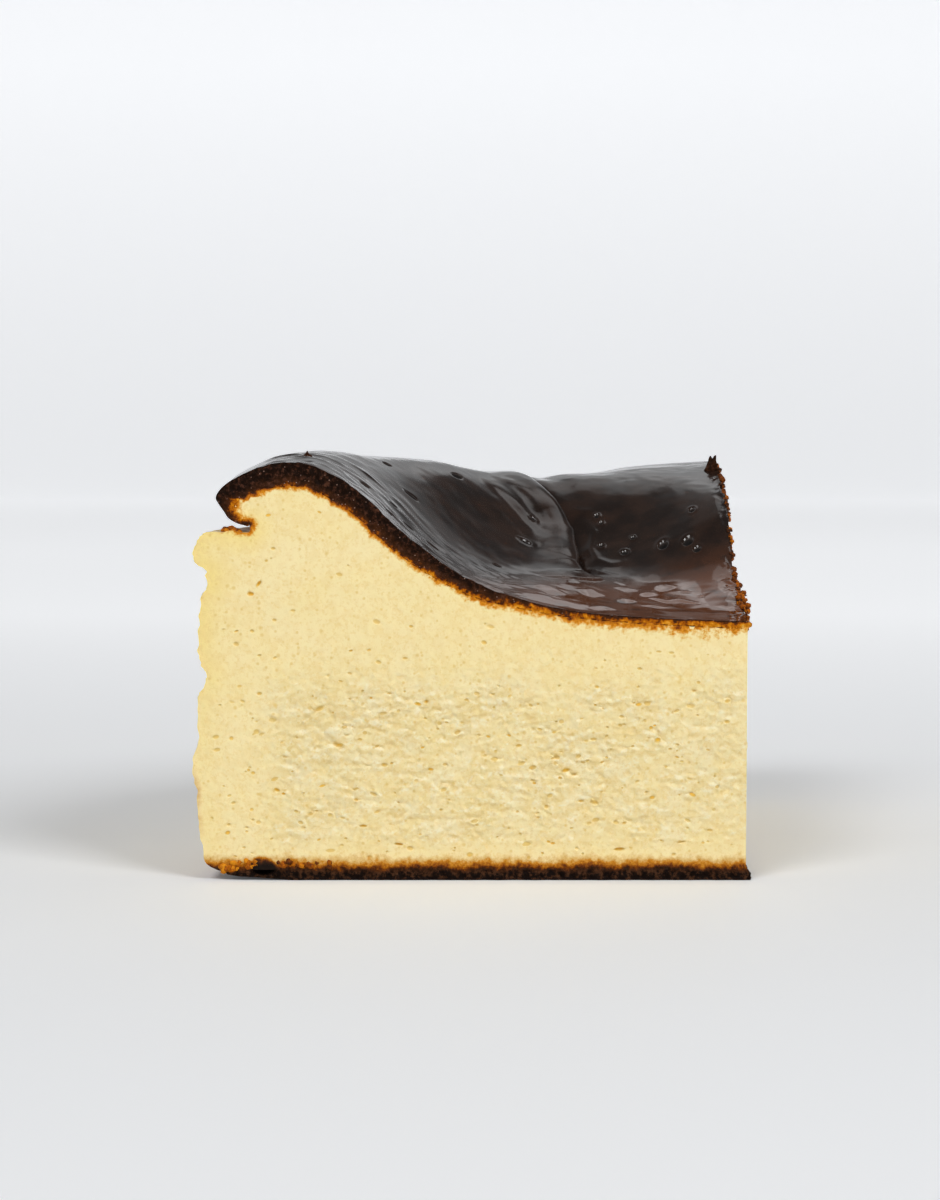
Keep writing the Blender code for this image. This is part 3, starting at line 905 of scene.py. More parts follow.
    def skin_place(self, flat: Array) -> Array:
        """Place flat points on the skin, with the crease's lobe laid over its hollow."""
        form = self.form
        left, behind = flat.T
        radius, angle = np.hypot(left, behind), np.arctan2(behind, left)
        angle = np.clip(angle, 0, form.wedge)
        height = form.top_height(radius, angle) + self.fine_relief(left, behind, radius)
        side, along = beside(form.crease, left, behind)
        inner = fall(radius, 60, form.seam_radius) * soften(behind, 0, 6)
        shift = form.crease_overlap * form.crease_strength(along) * inner
        shift = shift * soften(side, -3.2, -0.2) * fall(side, -0.05, 0.25)
        return self.set_proud(np.stack([left - shift, behind - 0.25 * shift, height], axis=1), self.proud)

    def skin_marks(self, flat: Array) -> Marks:
        """Mark where the skin is thin and red-brown, and its pits."""
        radius = np.hypot(*flat.T)
        thin = fall(radius + 0.25 * flat[:, 1], 26, 44)
        pit = np.zeros(len(flat))
        for shaded_pit in self.pits:
            pit = np.maximum(pit, shaded_pit.inside(*flat.T))
        return crust_marks(np.full(len(flat), -1.0), thin, pit)

    def rim_grid(self, inner: bool, columns: Array, places: Array) -> Array:
        """Lay the rim's rows on the angles, on the skin or on the shell's inner side."""
        rows = self.form.rim_rows(columns)[:, : self.lip_rows + 2]
        if inner:
            rows = rows[:, : self.lip_rows + 1] + np.array(self.form.rim_core)[None]
        line = self.form.through_rows(rows, places)
        grid = self.form.at(line[..., 0], columns[:, None], line[..., 1])
        if not inner:
            height = line[..., 1]
            arc = self.form.seam_radius * columns[:, None] * np.ones_like(height)
            bump = 0.16 * ripple(arc / 4.5, height / 2.2, 51) + 0.07 * ripple(arc / 1.4, height, 52)
            bump = bump * soften(places, 0, 2)[None] * soften(arc, 0, 2)
            end = self.form.seam_radius * self.form.wedge
            bump *= fall(arc, end - 2, end)
            grid[..., 0] += bump * np.cos(columns)[:, None]
            grid[..., 1] += bump * np.sin(columns)[:, None]
        shape = grid.shape
        return self.set_proud(grid.reshape(-1, 3), -self.tuck if inner else self.proud).reshape(shape)

    def inner_height(self, radius: Array, angle: Array) -> Array:
        """Height of the shell's inner side."""
        form = self.form
        step = 0.5
        low = form.base_height(np.maximum(radius - step, 0), angle)
        slope = (form.base_height(radius + step, angle) - low) / (2 * step)
        drop = read_curve(form.crust_thickness, radius) * np.sqrt(1 + slope ** 2)
        return form.top_height(radius, angle) - drop

    def inner_place(self, flat: Array) -> Array:
        """Place flat points on the shell's inner side."""
        left, behind = flat.T
        radius = np.hypot(left, behind)
        angle = np.clip(np.arctan2(behind, left), 0, self.form.wedge)
        rim = self.form.seam_radius + self.form.rim_core[0][0]
        rows = self.form.rim_rows(angle)
        seam = rows[:, 0, 1] + self.form.rim_core[0][1]
        height = blend(self.inner_height(radius, angle), seam, soften(radius, rim - 5, rim))
        return self.set_proud(np.stack([left, behind, height], axis=1), -self.tuck)

    def cut_radii(self) -> tuple[Array, Array]:
        """Radii of the shell's edge points at a cut, on the skin and on its inner side."""
        edge = self.form.seam_radius
        return spread(0, edge, self.edge_spacing), spread(0, edge + self.form.rim_core[0][0], 0.6)

    def strip(self, work: Patchwork, cut: Cut, rim_places: Array, inner_places: Array) -> None:
        """Add the shell's cut edge, rough with burnt grains.

        Args:
            work: the patches so far.
            cut: which cut it lies in.
            rim_places: rows of the rim.
            inner_places: rows of its inner side.
        """
        form = self.form
        skin, inner = self.cut_radii()
        angle = np.array([form.angle_of(cut)])
        direction = form.direction(angle[0])
        top = self.skin_place(skin[:, None] * direction[None])
        rim = self.rim_grid(False, angle, rim_places)[0]
        under = self.inner_place(inner[:, None] * direction[None])
        core = self.rim_grid(True, angle, inner_places)[0]
        axis = np.linspace(top[0], under[0], 7)[1:-1]
        ring = join([top, rim[1:], core[::-1], under[::-1][1:], axis[::-1]])
        along = ring[:, :2] @ direction
        flat_ring = stacked([along, ring[:, 2]])
        depths = form.skin_line(float(angle[0]))
        skin_tree, ring_tree = tree_of(depths[:, :2]), tree_of(flat_ring)
        inside_tree = tree_of(flat_ring[len(top) + len(rim) - 1 : len(ring) - len(axis)])
        strength = self.strip_grain * (1 if cut is Cut.FRONT else self.back_grain)

        def place(flat: Array) -> Array:
            edge = nearest(ring_tree, flat)[1]
            size = 0.8 if cut is Cut.FRONT else 1.3
            rough = grain(flat[:, 0] / size, flat[:, 1] / size, 61 + cut.value, 3)
            if cut is Cut.BACK:
                rough = 0.8 * rough + 0.9 * ripple(flat[:, 0] / 3.4, flat[:, 1] / 1.9, 65) + 0.3
            out = self.proud + strength * (rough - 0.1) * soften(edge, 0, 0.35)
            out = blend(-self.tuck, out, soften(nearest(inside_tree, flat)[1], 0, 0.3))
            places = form.on_cut(cut, flat, out)
            on_ring = edge < 1e-5
            if on_ring.any():
                index = nearest(ring_tree, flat[on_ring])[0]
                places[on_ring] = ring[index]
            return places

        def mark(flat: Array) -> Marks:
            return crust_marks(form.ember_at(depths, skin_tree, flat))

        work.add_net(flat_ring, self.strip_spacing, place, mark, finish=1)

    def build(self) -> Object:
        """Build the shell.

        Returns:
            The closed shell, with the skin as finish 0 and its cut edges as finish 1.
        """
        form = self.form
        work = Patchwork("top_crust")
        columns = spread(0, form.wedge, self.rim_spacing / form.seam_radius)
        rim_places = spread(0, float(self.lip_rows), self.rim_spacing / 1.9)
        inner_places = np.arange(self.lip_rows + 1, dtype=float)
        skin, inner = self.cut_radii()
        direction = form.direction(form.wedge)
        for radii, spacing, place, pits in (
            (skin, self.skin_spacing, self.skin_place, self.pits),
            (inner, self.inner_spacing, self.inner_place, ()),
        ):
            rim = form.seam_radius + (form.rim_core[0][0] if radii is inner else 0)
            arc = rim * circle(columns[1:])
            outline = sector(radii, arc, radii, direction)
            outline[len(radii) - 1, 0] = rim
            work.add_net(outline, spacing, place, self.skin_marks, dimples=pits)
        rim = self.rim_grid(False, columns, rim_places)
        core = self.rim_grid(True, columns, inner_places)
        flat = form.seam_radius * circle(columns)
        rim[:, 0] = self.skin_place(flat)
        core[:, 0] = self.inner_place((form.seam_radius + form.rim_core[0][0]) / form.seam_radius * flat)
        lip = soften(rim_places, 5.4, 8.6)[None] * np.ones((len(columns), 1))
        work.add_grid(rim, crust_marks(1.3 * lip - 1))
        work.add_grid(core, crust_marks(np.zeros(core.shape[:2])))
        end = np.stack([rim[:, -1], core[:, -1]], axis=1)
        work.add_grid(end, crust_marks(np.full(end.shape[:2], 0.4)), finish=1)
        self.strip(work, Cut.FRONT, rim_places, inner_places)
        self.strip(work, Cut.BACK, rim_places, inner_places)
        return work.sew(form)


@dataclass
class Cream:
    """The set cream: the two cuts with their curds and pores, and the pleated baked outside."""

    form: SliceForm
    crust: TopCrust
    front_spacing: float = 0.265
    back_spacing: float = 0.52
    wall_spacing: float = 0.85
    hidden_spacing: float = 3.0
    overlap: float = 0.3
    bottom: float = 1.4
    bottom_radius: float = 69.5
    curd_sizes: Sequence[tuple[float, float, float, float]] = (
        (2.6, 2.2, 0.9, 0.3), (1.4, 1.25, 0.9, 0.3), (0.85, 0.8, 0.8, 0.17),
    )
    curd_top: float = 31.0
    pore_count: int = 260
    pore_seed: int = 71
    curd_seed: int = 81
    marked_pores: Sequence[Dimple] = tuple(Dimple(*sizes) for sizes in (
        (65.9, 40.3, 0.62, 0.3, 0.35, -0.9, 0, 1), (67, 38.9, 0.58, 0.36, 0.35, 0.1, 0, 1),
        (63.6, 12.3, 0.55, 0.3, 0.3, 0.4, 0, 1), (62.7, 11.8, 0.35, 0.22, 0.25, 0, 0, 1),
        (51.9, 7.4, 0.68, 0.24, 0.3, 0, 0, 1), (47.1, 4.9, 0.8, 0.2, 0.35, 0.1, 0, 1),
        (17.2, 4.2, 0.95, 0.26, 0.4, -0.08, 0, 1), (26.2, 5, 0.42, 0.2, 0.25, 0, 0, 1),
        (8.8, 5.2, 0.9, 0.18, 0.25, -0.1),
    ))

    def profile(self, angle: Array) -> Array:
        """Rows of the cream's outside, from under the crust round to its base."""
        rows = self.form.rim_rows(angle)
        lip = self.crust.lip_rows
        tucked = rows[:, : lip + 1] + (1.0 - self.overlap * 0.4) * np.array(self.form.rim_core)[None]
        start = rows[:, lip : lip + 1] + np.array([[-0.35, 0.1]])[None]
        wall = rows[:, lip + 1 :]
        corner = np.tile(np.array([[[70.6, 1.2], [self.bottom_radius, self.bottom]]]), (len(angle), 1, 1))
        return join([tucked, start, wall, corner], axis=1)

    def wall_places(self, spacing: float) -> Array:
        """Row places along the outside, about evenly spaced at the front cut."""
        rows = self.profile(np.array([0.0]))[0]
        lengths = np.linalg.norm(np.diff(rows, axis=0), axis=1)
        places = [spread(i, i + 1, spacing / length)[:-1] for i, length in enumerate(lengths)]
        return join(places + [np.array([len(lengths)])])

    def top_line(self, radius: Array, angle: float) -> Array:
        """Height of the cream's top, tucked a little into the crust."""
        angles = np.full_like(radius, angle)
        edge = self.profile(np.array([angle]))[0, 0]
        height = self.crust.inner_height(radius, angles) + self.overlap
        return blend(height, edge[1], soften(radius, edge[0] - 5, edge[0]))

    def outline(self, cut: Cut, spacing: float) -> Array:
        """Outline a cut in radius and height: top, outside, base and axis."""
        angle = self.form.angle_of(cut)
        rows = self.profile(np.array([angle]))
        places = self.wall_places(spacing)
        wall = self.form.through_rows(rows, places)[0]
        wall[:, 0] += self.crumble(places, angle * self.form.seam_radius)
        radius = spread(0, wall[0, 0], 0.5)
        top = stacked([radius, self.top_line(radius, angle)])
        top[-1] = wall[0]
        base_radius = spread(self.bottom_radius, 0, 0.8)
        base = stacked([base_radius, np.full_like(base_radius, self.bottom)])
        axis = spread(self.bottom, top[0, 1], self.front_spacing)
        return join([top, wall[1:], base[1:], stacked([0 * axis, axis])[1:-1]])

    def torn(self, across: Array, height: Array, seed: int) -> Array:
        """Grade where the cream tore into curds: low on the cut, clear of its base and outside."""
        top_edge = self.curd_top + 3.5 * ripple(across / 11, height / 11, seed)
        band = soften(height, 3, 6.5) * fall(height - top_edge, -9, 2)
        band = band * (1 - 0.9 * soften(across, 61, 68)) * blend(0.85, 1, soften(across, 4, 22))
        return band * blend(0.7, 1, soften(ripple(across / 7.5, height / 5, seed + 1), -0.5, 0.3))

    def curds(self, across: Array, height: Array, seed: int) -> Array:
        """Relief of the torn curds, in two sizes, with fine grain and slow waves.

        Args:
            across: distances from the axis.
            height: heights on the cut.
            seed: picks the curds.

        Returns:
            How far each point stands out of the cut.
        """
        torn = self.torn(across, height, seed)
        warp_x = across + 0.45 * ripple(across / 1.6, height / 1.6, seed + 2)
        warp_z = height + 0.45 * ripple(across / 1.6, height / 1.6, seed + 3)
        relief = blend(0.04, 0.07, torn) * grain(across / 0.9, height / 0.8, seed + 7, 2)
        for part, (width, tall, tilt, stand) in enumerate(self.curd_sizes):
            patch = soften(ripple(across / (1.7 * width), height / (1.6 * tall), seed + 16 + part), -0.5, 0.1)
            lump = lumps(warp_x / width, warp_z / tall, seed + part, tilt) - 0.45
            relief = relief + torn * stand * blend(0.5, 1, patch) * lump
        relief = np.maximum(relief, -0.22 + 0.3 * (relief + 0.22))
        return relief + 0.1 * ripple(across / 12, height / 9, seed + 9)

    def crests(self, flat: Array, seed: int) -> Array:
        """Grade the curds from their upturned tops, -1, to the hollows above them, 1. The cream's finish
        paints the tops paler as painted highlight and the hollows deeper as painted shade.
        """
        across, height = flat.T
        reach = 0.2
        rise = self.curds(across, height + reach, seed) - self.curds(across, height - reach, seed)
        level = self.curds(across, height, seed)
        return np.clip(0.7 * rise / reach - 0.7 * level, -1, 1)

    def crumble(self, spot: Array, arc: Array | float) -> Array:
        """Crumbly bumps on the torn outside, strongest beside the front cut.

        Args:
            spot: row places along the outside.
            arc: distances round the outside from the front cut.

        Returns:
            How far each point moves out.
        """
        arc = np.asarray(arc, dtype=float) + 0 * spot
        bump = 0.42 * np.maximum(ripple(spot * 1.3, arc / 1.8, 95), -0.15)
        bump += 0.2 * ripple(spot * 3.3, arc / 0.9, 96)
        last = len(self.form.rim_at_front) + 1
        fade = soften(spot, 11.5, 13.5) * fall(spot, last - 4, last - 2)
        return fade * bump * blend(1, 0.45, soften(arc, 0, 14))

    def pores(self, outline: Array, seed: int) -> list[Dimple]:
        """Scatter a cut's pores, most of them in the lower half."""
        chance = np.random.default_rng(seed)
        low, high = outline.min(axis=0), outline.max(axis=0)
        tree = tree_of(outline)
        found: list[Dimple] = []
        while len(found) < self.pore_count:
            spot = chance.uniform(low, high)
            limit = read_curve(self.form.top_at_front, spot[0]) - 4
            keep = chance.random() < 0.35 + 0.65 * (spot[1] < 26)
            if not keep or spot[1] > limit or nearest(tree, spot[None])[1][0] < 1.5:
                continue
            size = 0.2 + 0.32 * chance.random() ** 2.4
            found.append(Dimple(
                spot[0], spot[1], size * chance.uniform(1, 1.9), size * chance.uniform(0.7, 1),
                chance.uniform(0.08, 0.2), turn=chance.uniform(-0.4, 0.4),
                tint=1 if chance.random() < 0.08 else chance.uniform(0.3, 0.7),
            ))
        return found + list(self.marked_pores if seed == self.pore_seed else ())

    def marks(self, count: int, **values: Array | float) -> Marks:
        """Name the values that the cream's finish reads, plain where none is given."""
        plain = {"ember": 6, "side": 0, "pore": 0, "toast": 0, "hollow": 0, "torn": 0}
        return {name: value + np.zeros(count) for name, value in (plain | values).items()}

    def add_cut(self, work: Patchwork, cut: Cut, spacing: float) -> None:
        """Add one cut with its curds and pores."""
        form = self.form
        angle = form.angle_of(cut)
        seed = self.curd_seed + 20 * cut.value
        outline = self.outline(cut, spacing)
        edge_tree = tree_of(outline)
        skin = form.skin_line(angle)
        skin_tree = tree_of(skin[:, :2])
        pores = self.pores(outline, self.pore_seed + cut.value)
        wall = form.through_rows(form.rim_rows(np.array([angle])), np.arange(10.0, 33.0, 0.25))[0]
        wall_tree = tree_of(wall)

        # With as_shade, gives how strongly each point is coloured as painted shade, by how deep it lies in a
        # pore.
        def dips(flat: Array, as_shade: bool = False) -> Array:
            total = np.zeros(len(flat))
            for pore in pores:
                near = np.abs(flat - np.array([pore.across, pore.along])).max(axis=1) < 1.8
                share = -pore.tint / pore.depth if as_shade else 1
                total[near] += share * pore.relief(*flat[near].T)
            return total

        def place(flat: Array) -> Array:
            edge = soften(nearest(edge_tree, flat)[1], 0, 1.1)
            return form.on_cut(cut, flat, edge * (self.curds(*flat.T, seed) + dips(flat)))

        def mark(flat: Array) -> Marks:
            torn = self.torn(*flat.T, seed)
            side = nearest(wall_tree, flat)[1]
            low = soften(flat[:, 1], 6, 8) * fall(flat[:, 1], 12, 16)
            # hollow grades the curds' tops and hollows, which the cream's finish paints as painted highlight
            # and painted shade.
            return self.marks(
                len(flat), ember=form.ember_at(skin, skin_tree, flat), side=side,
                pore=np.clip(1.2 * dips(flat, True), 0, 1), toast=low * fall(side, 0.1, 0.9),
                hollow=self.crests(flat, seed) * torn, torn=torn,
            )

        def plain(flat: Array) -> Array:
            return self.torn(*flat.T, seed) < 0.04

        work.add_net(outline, spacing, place, mark, dimples=pores, plain=plain)

    def add_outside(self, work: Patchwork) -> None:
        """Add the baked outside as a net over its unrolled length and rows."""
        form = self.form
        front, back = self.wall_places(self.front_spacing), self.wall_places(self.back_spacing)
        rows = self.profile(np.array([0.0]))[0]
        lengths = join([[0], np.cumsum(np.linalg.norm(np.diff(rows, axis=0), axis=1))])
        row_numbers = np.arange(len(rows), dtype=float)
        arc_length = form.wedge * form.seam_radius
        arcs = spread(0, arc_length, self.wall_spacing)

        def unrolled(place: Array) -> Array:
            return np.interp(place, row_numbers, lengths)

        outline = join([
            stacked([arcs, np.zeros_like(arcs)]),
            stacked([np.full(len(back) - 1, arc_length), unrolled(back[1:])]),
            stacked([arcs[-2::-1], np.full(len(arcs) - 1, lengths[-1])]),
            stacked([np.zeros(len(front) - 2), unrolled(front[-2:0:-1])]),
        ])

        def place(flat: Array) -> Array:
            angle = np.clip(flat[:, 0] / form.seam_radius, 0, form.wedge)
            spot = np.interp(flat[:, 1], lengths, row_numbers)
            line = self.read_each(self.profile(angle), spot)
            fade = soften(flat[:, 0], 0, 2) * fall(flat[:, 0], arc_length - 2, arc_length)
            fade = fade * soften(spot, 11, 13) * fall(spot, len(rows) - 4, len(rows) - 2)
            rough = 0.16 * fade * ripple(flat[:, 0] / 3, flat[:, 1] / 2.4, 91)
            rough = rough + self.crumble(spot, flat[:, 0])
            return form.at(line[:, 0] + rough, angle, line[:, 1])

        def mark(flat: Array) -> Marks:
            spot = np.interp(flat[:, 1], lengths, row_numbers)
            angle = flat[:, 0] / form.seam_radius
            height = self.read_each(self.profile(np.clip(angle, 0, form.wedge)), spot)[:, 1]
            pleat = np.clip(-form.pleat_relief(angle, height) / 2, 0, 1)
            groove = bell(height - 48.3, 2.2) * (1 - 0.4 * pleat)
            foot = 0.7 * fall(height, 2, 12)
            toast = np.clip(groove + foot + 0.18 - 0.25 * pleat, 0, 1) * soften(flat[:, 0], 0.2, 3)
            return self.marks(len(flat), toast=toast)

        work.add_net(outline, self.wall_spacing, place, mark)

    def read_each(self, rows: Array, place: Array) -> Array:
        """Read one place on each angle's own rows."""
        return read_rows(rows, place, np.arange(len(place)), (slice(None), None))

    def add_hidden(self, work: Patchwork) -> None:
        """Close the cream under the crust and over the base."""
        form = self.form
        columns = spread(0, form.wedge * form.seam_radius, self.wall_spacing) / form.seam_radius
        edge = self.profile(columns)[:, 0]
        front_edge, back_edge = edge[0, 0], edge[-1, 0]
        direction = form.direction(form.wedge)
        front, back = spread(0, front_edge, 0.5), spread(0, back_edge, 0.5)
        arc = edge[:, 0:1] * circle(columns)
        top_ring = sector(front[:-1], arc, back, direction)
        heights = join([
            self.top_line(front, 0)[:-1], edge[:, 1], self.top_line(back, form.wedge)[-2:0:-1],
        ])
        ring_tree = tree_of(top_ring)

        def place_top(flat: Array) -> Array:
            index, gap = nearest(ring_tree, flat)
            radius = np.hypot(*flat.T)
            angle = np.clip(np.arctan2(flat[:, 1], flat[:, 0]), 0, form.wedge)
            inner = self.crust.inner_height(radius, angle) + 0.25
            height = np.where(gap < 1e-5, heights[index], inner)
            return stacked([flat, height])

        def place_base(flat: Array) -> Array:
            return stacked([flat, np.full(len(flat), self.bottom)])

        def mark(flat: Array) -> Marks:
            return self.marks(len(flat), side=6)

        work.add_net(top_ring, self.hidden_spacing, place_top, mark)
        base_radius = spread(0, self.bottom_radius, 0.8)
        base_arc = self.bottom_radius * circle(columns)
        base_ring = sector(base_radius[:-1], base_arc, base_radius, direction)
        work.add_net(base_ring, self.hidden_spacing, place_base, mark)

    def build(self) -> Object:
        """Build the cream as one closed body."""
        work = Patchwork("set_cream")
        self.add_cut(work, Cut.FRONT, self.front_spacing)
        self.add_cut(work, Cut.BACK, self.back_spacing)
        self.add_outside(work)
        self.add_hidden(work)
        return work.sew(self.form)


@dataclass
class BaseCrust:
    """The browned base: a thin granular slab whose outer edge lifts off the table."""

    form: SliceForm
    section: Pairs = (
        (0, 1.85), (30, 1.85), (50, 1.8), (60, 1.85), (66, 2.05), (69.4, 2.1), (70.6, 1.8),
        (70.9, 1.25), (70.3, 0.75), (68.6, 0.5), (66.5, 0.4), (62, 0.02), (0, 0.02),
    )
    spacing: float = 0.3
    proud: float = 0.16
    tip_proud: float = 0.55
    grain_height: float = 0.24
    hollow: Dimple = Dimple(65.5, 1.4, 2, 1, 1.2, turn=-0.1)

    def ring(self) -> Array:
        """Points round the section, evenly spaced."""
        axis = spread(0.02, 1.85, self.spacing)
        return join([around(self.section, self.spacing), stacked([0 * axis, axis])[:-1]])

    def push(self, places: Array) -> Array:
        """Push the cut edges out a little, most of all at the tip."""
        left, behind, height = places.T
        to_back = self.form.to_back(left, behind)
        low = fall(height, 0.4, 2)
        front = (0.05 + self.proud * low) * fall(behind, 0, 1.5)
        reach = blend(self.proud, self.tip_proud, fall(behind, 0, 14))
        back = (0.05 + reach * low) * fall(to_back, 0, 1.5)
        wave = 1 + 0.6 * ripple(left / 2.3, behind / 2.3, 101)
        return np.stack([left - wave * back, behind - wave * front, height], axis=1)

    def build(self) -> Object:
        """Build the slab from its two cut sections, its faces and its lifted edge."""
        form = self.form
        work = Patchwork("base_crust")
        ring = self.ring()
        tree = tree_of(ring)
        columns = spread(0, form.wedge, 0.9 / form.seam_radius)
        for cut in Cut:
            work.add_net(ring, self.spacing * 0.8, partial(self.cut_place, cut, tree), self.mark)
        swept = ring[: np.flatnonzero(ring[1:, 0] == 0)[0] + 2]
        grid = form.at(swept[None, :, 0], columns[:, None], swept[None, :, 1])
        shape = grid.shape
        grid = self.push(grid.reshape(-1, 3)).reshape(shape)
        work.add_grid(grid, {"pit": np.zeros(shape[:2])})
        return work.sew(form)

    def cut_place(self, cut: Cut, tree: KDTree, flat: Array) -> Array:
        """Place points on one of the slab's grainy cuts.

        Args:
            cut: which cut.
            tree: a search tree of the section's outline.
            flat: points on the cut.

        Returns:
            Their places.
        """
        edge = soften(nearest(tree, flat)[1], 0, 0.35)
        rough = self.grain_height * (grain(flat[:, 0] / 0.8, flat[:, 1] / 0.8, 111 + cut.value, 3) - 0.2)
        if cut is Cut.FRONT:
            rough = rough + self.hollow.relief(*flat.T)
        places = self.push(self.form.on_cut(cut, flat))
        places[:, :2] += (edge * rough)[:, None] * self.form.out_of(cut)[None]
        return places

    def mark(self, flat: Array) -> Marks:
        """Mark the hollow in the slab's cut."""
        return {"pit": self.hollow.inside(*flat.T)}


@dataclass(frozen=True)
class TornFlake:
    """A scrap of burnt skin that was torn up and still stands on the crest."""

    name: str
    outline: Pairs
    foot: Pair
    turn: float
    lean: float
    thickness: float = 0.42
    spacing: float = 0.16

    def build(self, crust: TopCrust) -> Object:
        """Build the scrap as a closed, crumpled plate whose foot is sunk in the skin.

        Args:
            crust: the skin that it stands on.

        Returns:
            The scrap.
        """
        ring = around([*self.outline, self.outline[0]], self.spacing)
        ground = crust.skin_place(np.array([self.foot]))[0]
        top = ring[:, 1].max()

        def place(flat: Array, side: float) -> Array:
            across, up = flat.T
            slim = 1 - 0.45 * soften(up, 0, top)
            back = self.lean * up + 0.5 * side * self.thickness * slim
            back = back + 0.16 * ripple(across / 0.9, up / 0.9, 141)
            left = ground[0] - across * math.cos(self.turn) + back * math.sin(self.turn)
            behind = ground[1] + across * math.sin(self.turn) + back * math.cos(self.turn)
            return stacked([left, behind, ground[2] + up])

        def mark(flat: Array) -> Marks:
            return crust_marks(np.full(len(flat), -0.7))

        work = Patchwork(self.name)
        work.add_net(ring, self.spacing, lambda flat: place(flat, -1), mark)
        work.add_net(ring, self.spacing, lambda flat: place(flat, 1), mark)
        closed = join([ring, ring[:1]])
        edge = np.stack([place(closed, -1), place(closed, 1)])
        work.add_grid(edge, {name: values[None] * np.ones((2, 1)) for name, values in mark(closed).items()})
        return work.sew(crust.form)


def add_node(tree: NodeTree, kind: str, inputs: Inputs = None, **settings: object) -> Node:
    """Add a node to a tree.

    Args:
        tree: the tree.
        kind: the node's type.
        inputs: for each input, by name or number, its value or the socket that feeds it.
        settings: the node's own settings.

    Returns:
        The node.
    """
    node = tree.nodes.new(kind)
    for name, value in settings.items():
        setattr(node, name, value)
    for name, value in (inputs or {}).items():
        if isinstance(value, Socket):
            tree.links.new(value, node.inputs[name])
        else:
            node.inputs[name].default_value = value
    return node


def add_ramp(tree: NodeTree, value: Socket, stops: Sequence[tuple[float, Triple]]) -> Socket:
    """Turn a value between 0 and 1 into colours.

    Args:
        tree: the tree.
        value: what to colour by.
        stops: places between 0 and 1, and the colour at each.

    Returns:
        The colour.
    """
    node = add_node(tree, "ShaderNodeValToRGB", {"Fac": value})
    elements = node.color_ramp.elements
    while len(elements) < len(stops):
        elements.new(0.5)
    for element, (place, colour) in zip(elements, stops):
        element.position = place
        element.color = (*colour, 1)
    return node.outputs["Color"]


